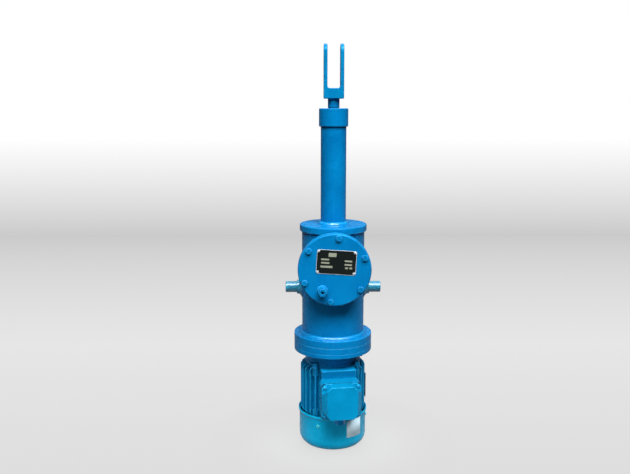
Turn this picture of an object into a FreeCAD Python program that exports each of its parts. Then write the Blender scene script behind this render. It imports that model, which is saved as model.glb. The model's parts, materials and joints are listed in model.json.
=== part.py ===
"""Electro-hydraulic actuator: flange motor, oil reservoir on side trunnions, push rod with a fork.

Millimetres, +Z up along the push rod.  The origin is on the main axis, on the flat
underside of the motor's fan cowl.  The inspection cover faces -Y.
"""

import FreeCAD
import Part
import Sketcher
import math
import os

# Driving dimensions: name, value, meaning.
DIMENSIONS = (
    # Clearances
    ("slip_gap", 0.03, "radial gap between two pieces that are fitted and stay put"),
    ("running_gap", 0.05, "radial gap between a piece and the one it moves in"),
    ("hole_gap", 0.3, "radial gap of a bolt in its clearance hole"),
    # Motor: fan cowl and fan
    ("cowl_radius", 87.0, "outside radius of the fan cowl"),
    ("cowl_flare", 2.5, "flare of the cowl's rim round the frame"),
    ("cowl_wall", 1.5, "sheet thickness of the cowl"),
    ("cowl_height", 95.0, "height of the cowl"),
    ("cowl_corner", 26.0, "outside radius of the cowl's bottom corner"),
    ("cowl_lap", 9.0, "how far the cowl laps over the frame"),
    ("grille_hub", 13.0, "radius of the plain disc in the middle of the grille"),
    ("grille_slot", 6.0, "radial width of a grille slot"),
    ("grille_bar", 5.5, "radial width of the ring between two slots"),
    ("cowl_screw_drop", 17.0, "cowl screws below the frame's lower end"),
    ("cowl_screw_radius", 2.5, "shank radius of a cowl screw"),
    ("cowl_screw_head", 4.5, "head radius of a cowl screw"),
    ("cowl_screw_head_height", 2.8, "head height of a cowl screw"),
    ("cowl_screw_turn", 243.0, "degrees from +X to the first cowl screw"),
    ("fan_radius", 72.0, "tip radius of the fan blades"),
    ("fan_blade_height", 38.0, "height of the fan blades"),
    ("fan_blade_thickness", 2.5, "thickness of a fan blade"),
    ("fan_hub_radius", 18.0, "outside radius of the fan hub"),
    ("fan_gap", 8.0, "fan below the rear end shield"),
    # Motor: frame, core and end shields
    ("frame_length", 136.0, "length of the finned frame"),
    ("frame_bore_radius", 65.0, "radius of the frame's bore"),
    ("frame_wall", 6.0, "wall of the frame between its fins"),
    ("fin_tip_radius", 84.0, "radius over the fins"),
    ("fin_thickness", 3.0, "thickness of a fin"),
    ("fin_chamfer", 7.0, "chamfer at both ends of a fin"),
    ("fin_inset", 3.0, "fin ends short of the frame's ends"),
    ("box_yaw", 8.0, "degrees that the terminal box is turned from the front"),
    ("pad_width", 88.0, "width of the terminal box seat on the frame"),
    ("pad_face_radius", 92.0, "distance of the seat's face from the axis"),
    ("pad_inset", 14.0, "seat above the frame's lower end"),
    ("ear_circle", 76.0, "radius of the end shield bolts' circle"),
    ("ear_radius", 8.0, "radius of a bolt ear"),
    ("ear_thickness", 7.0, "thickness of an end shield's bolt ears"),
    ("ear_depth", 22.0, "length of the frame's bolt lugs"),
    ("shield_spigot", 5.0, "length of an end shield's spigot in the frame"),
    ("shield_wall", 7.0, "wall of the end shields"),
    ("shield_bolt_radius", 3.0, "shank radius of an end shield bolt"),
    ("shield_bolt_flats", 10.0, "width across flats of an end shield bolt head"),
    ("shield_bolt_head", 3.0, "head height of an end shield bolt"),
    ("bell_radius", 70.0, "outside radius of the flange shield's bell"),
    ("bell_height", 33.0, "height of the bell below the flange"),
    ("core_length", 90.0, "length of the laminated cores"),
    ("core_inset", 22.0, "stator core above the frame's lower end"),
    ("core_bore_radius", 40.0, "radius of the stator bore"),
    ("air_gap", 0.3, "gap between rotor and stator"),
    ("slot_depth", 15.0, "depth of a stator slot"),
    ("slot_width", 5.0, "width of a stator slot"),
    ("winding_overhang", 15.0, "end turns beyond the core"),
    ("end_ring_height", 8.0, "height of the rotor's end rings"),
    # Motor: shaft and bearings
    ("shaft_radius", 12.0, "radius of the shaft's drive end"),
    ("shaft_reach", 53.0, "drive end beyond the flange face"),
    ("shaft_seat_radius", 17.0, "radius of the shaft under the rotor core"),
    ("shaft_step", 1.0, "step of the shaft at each end of the rotor core"),
    ("fan_seat_radius", 11.0, "radius of the shaft under the fan"),
    ("bearing_bore_radius", 12.5, "bore radius of a bearing"),
    ("bearing_outer_radius", 26.0, "outside radius of a bearing"),
    ("bearing_width", 15.0, "width of a bearing"),
    ("bearing_inset", 1.0, "rear bearing below the frame's lower end"),
    ("ball_radius", 3.97, "radius of a bearing ball"),
    ("ball_circle", 19.25, "radius of the ball circle"),
    ("race_gap", 4.4, "radial gap between the two bearing rings"),
    ("hub_wall", 8.0, "wall round a bearing seat"),
    ("shaft_hole_gap", 0.8, "gap round the shaft in an end shield"),
    # Motor: terminal box
    ("box_width", 100.0, "width of the terminal box"),
    ("box_height", 92.5, "height of the terminal box"),
    ("box_depth", 30.0, "depth of the terminal box"),
    ("box_wall", 5.0, "wall of the terminal box"),
    ("box_corner", 10.0, "corner radius of the terminal box"),
    ("box_inner_corner", 30.0, "corner radius of the box's inside, round the lid screws"),
    ("box_drop", 19.5, "top of the box below the frame's top"),
    ("box_gasket_thickness", 1.5, "thickness of the terminal box gasket"),
    ("lid_skirt", 6.0, "straight rim of the lid"),
    ("lid_depth", 16.5, "depth of the lid's tapered part"),
    ("lid_taper", 12.0, "taper of the lid at its left and right"),
    ("lid_slope", 4.0, "taper of the lid at its top and bottom"),
    ("lid_wall", 4.0, "wall of the lid"),
    ("lid_corner", 4.0, "corner radius of the lid's front before its corners are cut"),
    ("lid_ledge", 25.0, "corner ledges of the lid, along the box's sides"),
    ("lid_cut", 10.0, "corners cut off the lid's rim, along the box's sides"),
    ("lid_screw_inset", 8.5, "lid screws from the box's sides"),
    ("lid_screw_radius", 2.0, "shank radius of a lid screw"),
    ("lid_screw_head", 4.0, "head radius of a lid screw"),
    ("lead_hole_radius", 12.0, "radius of the hole for the motor leads"),
    ("board_width", 60.0, "width of the terminal board"),
    ("board_height", 46.0, "height of the terminal board"),
    ("board_thickness", 8.0, "thickness of the terminal board"),
    ("stud_radius", 2.5, "radius of a terminal stud"),
    ("stud_height", 14.0, "terminal studs above the board"),
    ("stud_nut_flats", 8.0, "width across flats of a terminal nut"),
    ("stud_pitch", 20.0, "distance between terminal studs"),
    ("gland_bore_radius", 6.0, "radius of the cable entry"),
    ("gland_thread_radius", 8.0, "radius of the gland's thread"),
    ("gland_flats", 24.0, "width across flats of the gland's nuts"),
    ("gland_nut_height", 14.0, "height of the gland's clamping nut"),
    ("gland_collar", 7.0, "height of the gland's hexagon"),
    ("rating_width", 44.0, "width of the motor's rating plate"),
    ("rating_height", 66.0, "height of the motor's rating plate"),
    ("plate_thickness", 0.8, "thickness of the rating plate and the nameplate"),
    # Flange stack
    ("flange_radius", 100.0, "outside radius of the flanges"),
    ("motor_flange_thickness", 11.0, "thickness of the motor flange"),
    ("spigot_radius", 65.0, "radius of the motor's spigot"),
    ("spigot_height", 3.5, "height of the motor's spigot"),
    ("flange_bolt_circle", 82.5, "radius of the flange bolt circle"),
    ("flange_bolt_radius", 5.0, "shank radius of a flange bolt"),
    ("flange_bolt_flats", 16.0, "width across flats of a flange bolt head"),
    ("flange_bolt_head", 6.4, "head height of a flange bolt"),
    ("pump_plate_thickness", 15.0, "thickness of the pump plate"),
    ("gasket_thickness", 1.0, "thickness of the flange gasket"),
    ("tank_flange_thickness", 18.0, "thickness of the reservoir flange"),
    ("tank_flange_bore", 68.0, "bore radius of the reservoir flange"),
    ("bolt_engagement", 12.0, "flange bolts in the reservoir flange"),
    ("seal_radius", 20.0, "outside radius of the shaft seal"),
    ("seal_height", 7.0, "height of the shaft seal"),
    # Reservoir
    ("shell_radius", 79.5, "outside radius of the reservoir shell"),
    ("shell_wall", 5.0, "wall of the reservoir shell"),
    ("shell_length", 267.0, "length of the reservoir shell"),
    ("top_plate_radius", 85.0, "radius of the top plate"),
    ("top_plate_thickness", 16.0, "thickness of the top plate"),
    ("top_plate_round", 3.0, "edge radius of the top plate"),
    ("trunnion_height", 118.0, "trunnion axis above the reservoir flange"),
    ("trunnion_radius", 14.0, "radius of a trunnion pin"),
    ("trunnion_span", 244.0, "distance over the two trunnion pins"),
    ("trunnion_boss", 7.5, "length of the trunnion boss beyond the shell"),
    ("trunnion_collar_radius", 18.0, "radius of the collar behind a trunnion pin"),
    ("trunnion_collar", 6.0, "length of that collar"),
    ("trunnion_boss_radius", 26.0, "radius of the trunnion boss on the shell"),
    # Inspection window
    ("window_height", 184.5, "window axis above the reservoir flange"),
    ("window_radius", 65.0, "radius of the window"),
    ("neck_wall", 5.0, "wall of the window neck"),
    ("neck_reach", 87.0, "back of the neck's ring from the main axis"),
    ("neck_ring_thickness", 10.0, "thickness of the neck's ring"),
    ("cover_radius", 90.0, "radius of the inspection cover"),
    ("cover_thickness", 12.0, "thickness of the inspection cover"),
    ("cover_chamfer", 2.5, "front chamfer of the cover"),
    ("cover_gasket_thickness", 1.5, "thickness of the cover gasket"),
    ("cover_bolt_circle", 79.5, "radius of the cover bolt circle"),
    ("cover_bolt_radius", 4.0, "shank radius of a cover bolt"),
    ("cover_bolt_flats", 13.0, "width across flats of a cover bolt head"),
    ("cover_bolt_head", 5.3, "head height of a cover bolt"),
    ("cover_bolt_turn", 23.0, "degrees from the right to the first cover bolt"),
    ("nameplate_width", 97.0, "width of the nameplate"),
    ("nameplate_height", 60.0, "height of the nameplate"),
    ("nameplate_right", 4.0, "nameplate centre right of the cover's centre"),
    ("nameplate_up", 20.0, "nameplate centre above the cover's centre"),
    ("nameplate_tilt", 3.6, "degrees that the nameplate leans to the right"),
    ("nameplate_corner", 5.0, "corner radius of the nameplate"),
    ("rivet_inset", 4.5, "nameplate rivets from the plate's edges"),
    ("rivet_radius", 1.3, "shank radius of a nameplate rivet"),
    ("rivet_head", 2.6, "head radius of a nameplate rivet"),
    ("rivet_depth", 6.0, "nameplate rivets in the cover"),
    ("filler_left", 30.0, "filler plug left of the cover's centre"),
    ("filler_down", 50.0, "filler plug below the cover's centre"),
    ("filler_boss_radius", 11.5, "radius of the filler boss"),
    ("filler_boss_height", 14.0, "height of the filler boss"),
    ("filler_thread_radius", 8.0, "radius of the filler plug's thread"),
    ("filler_head_flats", 19.0, "width across flats of the filler plug"),
    ("filler_head_height", 11.0, "head height of the filler plug"),
    # Pump and drive
    ("coupling_radius", 21.0, "outside radius of the coupling"),
    ("coupling_hub", 24.0, "length of a coupling hub"),
    ("coupling_jaw", 12.0, "length of the coupling jaws"),
    ("coupling_lift", 8.0, "coupling above the pump plate"),
    ("bracket_bore", 28.0, "bore radius of the pump bracket"),
    ("bracket_wall", 6.0, "wall of the pump bracket"),
    ("bracket_foot_radius", 60.0, "radius of the bracket's two flanges"),
    ("bracket_foot", 10.0, "thickness of the bracket's two flanges"),
    ("bracket_height", 72.0, "height of the pump bracket"),
    ("gear_module", 2.0, "module of the pump gears"),
    ("gear_backlash", 0.25, "thinning of a gear tooth"),
    ("gear_width", 30.0, "width of the pump gears"),
    ("gear_side_gap", 0.06, "gap at each side of a gear"),
    ("gear_tip_gap", 0.1, "gap between tooth tips and the pump body"),
    ("pump_shaft_radius", 8.0, "radius of the pump shafts"),
    ("pump_bearing_depth", 11.5, "depth of the bearing bores in the pump's covers"),
    ("shaft_end_gap", 1.0, "gap at the end of a pump shaft"),
    ("pump_wall", 17.0, "wall of the pump round its gears"),
    ("pump_cover_thickness", 14.0, "thickness of the pump's front cover"),
    ("pump_end_thickness", 16.0, "thickness of the pump's end cover"),
    ("pump_corner", 12.0, "corner radius of the pump"),
    ("pump_bolt_radius", 4.0, "shank radius of a pump bolt"),
    ("pump_bolt_flats", 13.0, "width across flats of a pump bolt head"),
    ("pump_bolt_head", 5.3, "head height of a pump bolt"),
    ("pump_bolt_inset", 7.5, "pump bolts from the pump's sides"),
    ("pump_bolt_engagement", 7.0, "pump bolts in the pump plate"),
    # Valve block and pipes
    ("block_width", 84.0, "width of the valve block"),
    ("block_depth", 70.0, "depth of the valve block"),
    ("block_height", 76.0, "height of the valve block"),
    ("block_bolt_radius", 4.0, "shank radius of a block bolt"),
    ("block_bolt_flats", 13.0, "width across flats of a block bolt head"),
    ("block_bolt_head", 5.3, "head height of a block bolt"),
    ("block_bolt_inset", 8.0, "block bolts from the block's sides"),
    ("block_bolt_engagement", 10.0, "block bolts in the top plate"),
    ("relief_spacing", 40.0, "distance between the relief valves"),
    ("relief_height", 50.0, "relief valves above the block's underside"),
    ("relief_radius", 9.0, "radius of a relief valve's cartridge"),
    ("relief_depth", 28.0, "relief valve in the block"),
    ("relief_flats", 22.0, "width across flats of a relief valve"),
    ("relief_head", 10.0, "height of a relief valve's hexagon"),
    ("relief_stem_radius", 4.0, "radius of a relief valve's adjusting screw"),
    ("relief_stem", 13.0, "length of that screw"),
    ("port_radius", 5.0, "radius of the oil passages"),
    ("pipe_radius", 4.0, "outside radius of an oil pipe"),
    ("pipe_wall", 1.2, "wall of an oil pipe"),
    ("pipe_standoff", 2.0, "straight stretch of an oil pipe beyond the valve block"),
    ("pipe_bend", 11.0, "bend radius of an oil pipe"),
    ("pipe_entry", 30.0, "oil pipes above the block's underside"),
    ("pipe_socket", 7.0, "oil pipes in their sockets"),
    # Cylinder
    ("base_radius", 52.0, "radius of the cylinder base"),
    ("base_height", 36.0, "height of the cylinder base"),
    ("base_floor", 16.0, "floor of the cylinder base"),
    ("groove_width", 10.0, "radial width of the base's oil groove"),
    ("groove_depth", 8.0, "depth of the base's oil groove"),
    ("tube_radius", 32.0, "outside radius of the outer tube"),
    ("tube_wall", 4.0, "wall of the outer tube"),
    ("tube_exposed", 244.0, "outer tube between the top plate and the cap"),
    ("barrel_bore_radius", 20.0, "bore radius of the cylinder barrel"),
    ("barrel_wall", 3.5, "wall of the cylinder barrel"),
    ("barrel_port_radius", 2.5, "radius of the barrel's rod-end ports"),
    ("barrel_port_drop", 2.0, "rod-end ports below the guide bush"),
    ("cap_radius", 36.5, "outside radius of the gland cap"),
    ("cap_height", 45.0, "height of the gland cap"),
    ("cap_roof", 16.0, "roof of the gland cap"),
    ("cap_chamfer", 1.5, "edge chamfer of the gland cap"),
    ("bush_flange", 6.0, "thickness of the guide bush's flange"),
    ("bush_length", 38.0, "guide bush in the outer tube"),
    ("bush_spigot", 12.0, "guide bush in the barrel"),
    ("rod_radius", 12.5, "radius of the push rod"),
    ("seal_lip", 4.5, "radial depth of a rod seal"),
    ("seal_length", 8.0, "length of a rod seal"),
    ("wiper_length", 6.0, "length of the wiper ring"),
    ("piston_rest", 4.0, "piston nut above the barrel's floor with the rod in"),
    ("piston_length", 34.0, "length of the piston"),
    ("piston_seal_depth", 3.5, "depth of a piston seal groove"),
    ("piston_seal_width", 6.0, "width of a piston seal"),
    ("rod_tail_radius", 8.0, "radius of the rod's tail in the piston"),
    ("piston_nut_flats", 24.0, "width across flats of the piston nut"),
    ("piston_nut_height", 12.0, "height of the piston nut"),
    # Fork
    ("neck_length", 23.5, "fork neck above the gland cap"),
    ("neck_radius", 14.5, "radius of the fork's neck"),
    ("rod_thread_radius", 9.0, "radius of the rod's thread in the fork"),
    ("rod_thread_length", 36.0, "length of the rod's thread in the fork"),
    ("fork_width", 50.0, "width over the fork's tines"),
    ("fork_slot", 32.0, "width of the fork's slot"),
    ("fork_depth", 40.0, "depth of the fork from front to back"),
    ("fork_block", 25.5, "height of the fork's block"),
    ("fork_tine", 107.0, "length of the fork's tines"),
    ("fork_corner", 6.0, "corner radius at the foot of the slot"),
    ("fork_pin_radius", 10.0, "radius of the fork's pin hole"),
)

FIN_COUNT = 30
SLOT_COUNT = 24
BALL_COUNT = 9
BLADE_COUNT = 8
GRILLE_RINGS = 4
GRILLE_SECTORS = 6
GRILLE_SECTOR_ANGLE = 48
COWL_SCREW_COUNT = 3
COWL_LUG_ANGLE = 13
EAR_COUNT = 4
EAR_ANGLE = 45
FLANGE_BOLT_COUNT = 4
COVER_BOLT_COUNT = 6
GEAR_TEETH = 16
GEAR_PRESSURE_ANGLE = 20
JAW_COUNT = 3
JAW_ANGLE = 50
SPIDER_LEG_ANGLE = 9
INVOLUTE_POINTS = 9
DEDENDUM = 1.25
OVERCUT = 1

doc = FreeCAD.newDocument("actuator")
sheet = doc.addObject("Spreadsheet::Sheet", "Sizes")
nodes = []


class Size:
    """A number together with the spreadsheet formula that gives it."""

    def __init__(self, number, formula):
        self.number = number
        self.formula = formula

    def __add__(self, other):
        other = as_size(other)
        return Size(self.number + other.number, f"({self.formula} + {other.formula})")

    def __sub__(self, other):
        other = as_size(other)
        return Size(self.number - other.number, f"({self.formula} - {other.formula})")

    def __mul__(self, other):
        other = as_size(other)
        return Size(self.number * other.number, f"({self.formula} * {other.formula})")

    def __truediv__(self, other):
        other = as_size(other)
        return Size(self.number / other.number, f"({self.formula} / {other.formula})")

    def __neg__(self):
        return Size(-self.number, f"(-1 * {self.formula})")

    __radd__ = __add__
    __rmul__ = __mul__


def as_size(value):
    return value if isinstance(value, Size) else Size(float(value), repr(float(value)))


def cosine(degrees):
    degrees = as_size(degrees)
    return Size(math.cos(math.radians(degrees.number)), f"cos({degrees.formula} * 1 deg)")


def sine(degrees):
    degrees = as_size(degrees)
    return Size(math.sin(math.radians(degrees.number)), f"sin({degrees.formula} * 1 deg)")


class Sheet:
    """The driving dimensions by name, each as a Size."""


def fill_sheet():
    sizes = Sheet()
    for row, (alias, number, meaning) in enumerate(DIMENSIONS, start=1):
        sheet.set(f"A{row}", alias)
        sheet.set(f"B{row}", str(number))
        sheet.set(f"C{row}", meaning)
        sheet.setAlias(f"B{row}", alias)
        setattr(sizes, alias, Size(number, f"{sheet.Name}.{alias}"))
    doc.recompute()
    return sizes


d = fill_sheet()

# Levels along the main axis, from the underside of the cowl upwards
z_frame_low = d.cowl_height - d.cowl_lap
z_frame_top = z_frame_low + d.frame_length
z_flange_low = z_frame_top + d.bell_height
z_flange_top = z_flange_low + d.motor_flange_thickness
z_plate_top = z_flange_top + d.pump_plate_thickness
z_gasket_top = z_plate_top + d.gasket_thickness
z_shell_low = z_gasket_top + d.tank_flange_thickness
z_shell_top = z_shell_low + d.shell_length
z_top = z_shell_top + d.top_plate_thickness
z_cap_low = z_top + d.tube_exposed
z_cap_top = z_cap_low + d.cap_height
z_fork_low = z_cap_top + d.neck_length
z_slot = z_fork_low + d.fork_block
z_fork_top = z_slot + d.fork_tine
z_trunnion = z_shell_low + d.trunnion_height
z_window = z_shell_low + d.window_height

# Levels inside the motor
z_cowl_screw = z_frame_low - d.cowl_screw_drop
z_rear_bearing = z_frame_low - d.bearing_width - d.bearing_inset
z_front_bearing = z_flange_low - d.bearing_width - d.shield_wall
z_core_low = z_frame_low + d.core_inset
z_core_top = z_core_low + d.core_length
z_fan_top = z_rear_bearing - d.hub_wall / 2 - d.fan_gap
z_shaft_end = z_flange_top + d.shaft_reach
frame_root = d.frame_bore_radius + d.frame_wall
hub_radius = d.bearing_outer_radius + d.hub_wall
shaft_hole = d.bearing_bore_radius + d.shaft_hole_gap
cowl_inner = d.cowl_radius - d.cowl_wall

# Terminal box, measured outwards from the main axis and up from the origin
r_box_back = d.pad_face_radius
r_box_front = r_box_back + d.box_depth
r_lid_back = r_box_front + d.box_gasket_thickness
r_lid_step = r_lid_back + d.lid_skirt
r_lid_front = r_lid_step + d.lid_depth
z_box_top = z_frame_top - d.box_drop
z_box = z_box_top - d.box_height / 2
z_box_low = z_box_top - d.box_height
r_gland = r_box_back + d.box_depth / 2
r_screw_seat = r_lid_step

# Pump, from the bracket upwards
z_bracket_top = z_plate_top + d.bracket_height
z_gear_low = z_bracket_top + d.pump_cover_thickness
z_gear_top = z_gear_low + d.gear_width
z_pump_top = z_gear_top + d.pump_end_thickness
gear_pitch_radius = d.gear_module * (GEAR_TEETH / 2)
gear_tip_radius = gear_pitch_radius + d.gear_module
gear_root_radius = gear_pitch_radius - DEDENDUM * d.gear_module
gear_distance = 2 * gear_pitch_radius
pump_half_width = gear_tip_radius + d.pump_wall
pump_back = -pump_half_width
pump_front = gear_distance + pump_half_width
z_coupling_low = z_plate_top + d.coupling_lift
z_jaw_low = z_coupling_low + d.coupling_hub
z_jaw_top = z_jaw_low + d.coupling_jaw

# Cylinder, from the base upwards
z_base_low = z_shell_top - d.base_height
z_barrel_low = z_base_low + d.base_floor
z_block_low = z_base_low - d.block_height
barrel_radius = d.barrel_bore_radius + d.barrel_wall
tube_inner = d.tube_radius - d.tube_wall
z_roof = z_cap_top - d.cap_roof
z_tube_top = z_roof - d.bush_flange
z_barrel_top = z_tube_top - d.bush_length
z_bush_low = z_barrel_top - d.bush_spigot
z_nut_low = z_barrel_low + d.piston_rest
z_piston_low = z_nut_low + d.piston_nut_height
z_piston_top = z_piston_low + d.piston_length

# Inspection cover, measured forwards from the main axis
y_gasket = d.neck_reach + d.neck_ring_thickness
y_cover_back = y_gasket + d.cover_gasket_thickness
y_cover_front = y_cover_back + d.cover_thickness

X_AXIS = FreeCAD.Vector(1, 0, 0)
Y_AXIS = FreeCAD.Vector(0, 1, 0)
Z_AXIS = FreeCAD.Vector(0, 0, 1)
FACING_UP = FreeCAD.Rotation()
FACING_DOWN = FreeCAD.Rotation(X_AXIS, 180)
FACING_FRONT = FreeCAD.Rotation(X_AXIS, 90)
FACING_RIGHT = FreeCAD.Rotation(Y_AXIS, 90)
FACING_LEFT = FreeCAD.Rotation(Y_AXIS, -90)
FRAME_YAW = FreeCAD.Rotation(Z_AXIS, d.box_yaw.number)
COWL_TURN = FreeCAD.Rotation(Z_AXIS, d.cowl_screw_turn.number)
BOX_FRONT = FRAME_YAW.multiply(FACING_FRONT)


# Making features
def new_body(label, x=0, y=0, z=0, turn=FACING_UP, node=True):
    """A PartDesign body at a place bound to the sheet; turn says where its own +Z points."""
    body = doc.addObject("PartDesign::Body", label)
    body.Label = label
    base = [as_size(value) for value in (x, y, z)]
    body.Placement = FreeCAD.Placement(FreeCAD.Vector(*(size.number for size in base)), turn)
    for letter, size in zip("xyz", base):
        body.setExpression(f"Placement.Base.{letter}", size.formula)
    if node:
        nodes.append(body)
    return body


def new_group(label, members):
    """One node made of several bodies that stay separate solids."""
    group = doc.addObject("Part::Compound", label)
    group.Label = label
    group.Links = members
    nodes.append(group)
    return group


def origin_feature(body, role):
    return next(feature for feature in body.Origin.OriginFeatures if feature.Role == role)


def new_sketch(body, plane, offset):
    sketch = body.newObject("Sketcher::SketchObject", f"{body.Name}_sketch")
    sketch.AttachmentSupport = (origin_feature(body, plane), [""])
    sketch.MapMode = "FlatFace"
    offset = as_size(offset)
    sketch.AttachmentOffset = FreeCAD.Placement(FreeCAD.Vector(0, 0, offset.number), FACING_UP)
    sketch.setExpression("AttachmentOffset.Base.z", offset.formula)
    return sketch


def pin_point(geometry, position, x, y):
    """Constraints that hold a sketch point at (x, y), each with the formula it is bound to."""
    held = []
    for kind, axis, size in (("DistanceX", -2, as_size(x)), ("DistanceY", -1, as_size(y))):
        if size.number == 0:
            held.append((Sketcher.Constraint("PointOnObject", geometry, position, axis), None))
        else:
            held.append((Sketcher.Constraint(kind, -1, 1, geometry, position, size.number), size.formula))
    return held


def hold(sketch, held):
    """Adds constraints to a sketch and binds those that have a formula."""
    indices = sketch.addConstraint([constraint for constraint, formula in held])
    for index, (constraint, formula) in zip(indices, held):
        if formula is not None:
            sketch.setExpression(f"Constraints[{index}]", formula)


def vector(point):
    return FreeCAD.Vector(as_size(point[0]).number, as_size(point[1]).number, 0)


def stepped(corner, neighbour, radius):
    """The point on a level or upright side, a radius away from its corner."""
    side = vector(neighbour) - vector(corner)
    if abs(side.x) > abs(side.y):
        return (corner[0] + math.copysign(1, side.x) * radius, corner[1])
    return (corner[0], corner[1] + math.copysign(1, side.y) * radius)


def draw_loop(sketch, corners, closed=True):
    """Draws straight sides between corners (x, y), or (x, y, radius) for a rounded corner."""
    entries, exits, radii = [], [], []
    for index, corner in enumerate(corners):
        x, y = as_size(corner[0]), as_size(corner[1])
        radius = corner[2] if len(corner) > 2 else None
        radii.append(radius)
        if radius is None:
            entries.append((x, y))
            exits.append((x, y))
        else:
            entries.append(stepped((x, y), corners[index - 1], radius))
            exits.append(stepped((x, y), corners[(index + 1) % len(corners)], radius))
    held, sides = [], {}
    count = len(corners) if closed else len(corners) - 1
    for index in range(count):
        following = (index + 1) % len(corners)
        side = sketch.addGeometry(Part.LineSegment(vector(exits[index]), vector(entries[following])), False)
        sides[index] = side
        held += pin_point(side, 1, *exits[index])
        if radii[following] is not None or (not closed and following == len(corners) - 1):
            held += pin_point(side, 2, *entries[following])
    for index in range(len(corners)):
        before = sides.get((index - 1) % len(corners) if closed else index - 1)
        after = sides.get(index)
        if before is None or after is None:
            continue
        if radii[index] is None:
            held.append((Sketcher.Constraint("Coincident", before, 2, after, 1), None))
            continue
        held += round_corner(sketch, before, after, vector(corners[index]), radii[index])
    hold(sketch, held)


def round_corner(sketch, before, after, corner, radius):
    """An arc between two sides that stop short of their common corner."""
    start, end = sketch.getPoint(before, 2), sketch.getPoint(after, 1)
    centre = start + end - corner
    middle = centre + (corner - centre).normalize() * radius.number
    arc = sketch.addGeometry(Part.Arc(start, middle, end), False)
    forwards = sketch.getPoint(arc, 1).distanceToPoint(start) < sketch.getPoint(arc, 2).distanceToPoint(start)
    first, last = (1, 2) if forwards else (2, 1)
    return [
        (Sketcher.Constraint("Coincident", before, 2, arc, first), None),
        (Sketcher.Constraint("Coincident", arc, last, after, 1), None),
        (Sketcher.Constraint("Radius", arc, radius.number), radius.formula),
    ]


def outline(body, plane, *loops, offset=0):
    """A sketch of closed outlines on one of the body's origin planes, moved along its normal."""
    sketch = new_sketch(body, plane, offset)
    for loop in loops:
        draw_loop(sketch, loop)
    return sketch


def circles(body, plane, radius, centres, offset=0):
    """A sketch of equal circles on one of the body's origin planes."""
    sketch = new_sketch(body, plane, offset)
    radius = as_size(radius)
    held = []
    for centre in centres:
        ring = sketch.addGeometry(Part.Circle(vector(centre), Z_AXIS, radius.number), False)
        held += pin_point(ring, 3, *centre)
        held.append((Sketcher.Constraint("Radius", ring, radius.number), radius.formula))
    hold(sketch, held)
    return sketch


def rectangle(left, right, low, high, corner=None):
    """The corners of an upright rectangle, rounded where a corner radius is given."""
    points = [(left, low), (right, low), (right, high), (left, high)]
    return points if corner is None else [(*point, corner) for point in points]


def middle_rectangle(width, height, corner=None, x=0, y=0):
    x, y = as_size(x), as_size(y)
    return rectangle(x - width / 2, x + width / 2, y - height / 2, y + height / 2, corner)


def hexagon(flats, x=0, y=0):
    """The corners of a hexagon about (x, y), flats wide from side to side."""
    across = flats / math.sqrt(3)
    x, y = as_size(x), as_size(y)
    turns = [math.radians(60 * step) for step in range(6)]
    return [(x + math.cos(turn) * across, y + math.sin(turn) * across) for turn in turns]


def feature(body, kind, sketch):
    made = body.newObject(f"PartDesign::{kind}", f"{body.Name}_{kind.lower()}")
    made.Profile = sketch
    sketch.Visibility = False
    body.Tip = made
    return made


def pad(body, sketch, length, symmetric=False):
    made = feature(body, "Pad", sketch)
    made.setExpression("Length", as_size(length).formula)
    made.Midplane = symmetric
    return made


def pocket(body, sketch, depth=None, forwards=False, symmetric=False):
    """Cuts against the sketch's normal, or along it if forwards; with no depth, all the way."""
    made = feature(body, "Pocket", sketch)
    if depth is None:
        made.Type = "ThroughAll"
    else:
        made.setExpression("Length", as_size(depth).formula)
    made.Reversed = forwards
    made.Midplane = symmetric
    return made


def revolve(body, *loops, angle=360):
    """Turns outlines in (radius, height) about the body's Z axis."""
    sketch = outline(body, "XZ_Plane", *loops)
    made = feature(body, "Revolution", sketch)
    made.ReferenceAxis = (sketch, ["V_Axis"])
    made.Angle = angle
    made.Midplane = angle != 360
    return made


def groove(body, sketch, angle=360):
    """Cuts a sketch in (radius, height) about the body's Z axis."""
    made = feature(body, "Groove", sketch)
    made.ReferenceAxis = (sketch, ["V_Axis"])
    made.Angle = angle
    made.Midplane = angle != 360
    return made


def polar(body, features, count):
    """Repeats features evenly round the body's Z axis."""
    made = body.newObject("PartDesign::PolarPattern", f"{body.Name}_pattern")
    made.Originals = features
    made.Axis = (origin_feature(body, "Z_Axis"), [""])
    made.Angle = 360
    made.Occurrences = count
    body.Tip = made
    return made


def hex_bolts(label, centres, flats, head, radius, length, **place):
    """Equal hexagon bolts: the heads' undersides are on the body's XY plane, the shanks run along +Z."""
    body = new_body(label, **place)
    heads = outline(body, "XY_Plane", *(hexagon(flats, *centre) for centre in centres), offset=-head)
    pad(body, heads, head)
    pad(body, circles(body, "XY_Plane", radius, centres), length)
    return body


def on_circle(radius, count, turn=0):
    """Evenly spaced places on a circle about the origin."""
    turn = as_size(turn)
    angles = [turn + 360 * step / count for step in range(count)]
    return [(radius * cosine(angle), radius * sine(angle)) for angle in angles]


def corners_of(width, height, inset, x=0, y=0):
    """Four places, inset from the corners of a rectangle about (x, y)."""
    x, y = as_size(x), as_size(y)
    across, along = width / 2 - inset, height / 2 - inset
    return [
        (x + across, y + along), (x - across, y + along), (x - across, y - along), (x + across, y - along),
    ]


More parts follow.
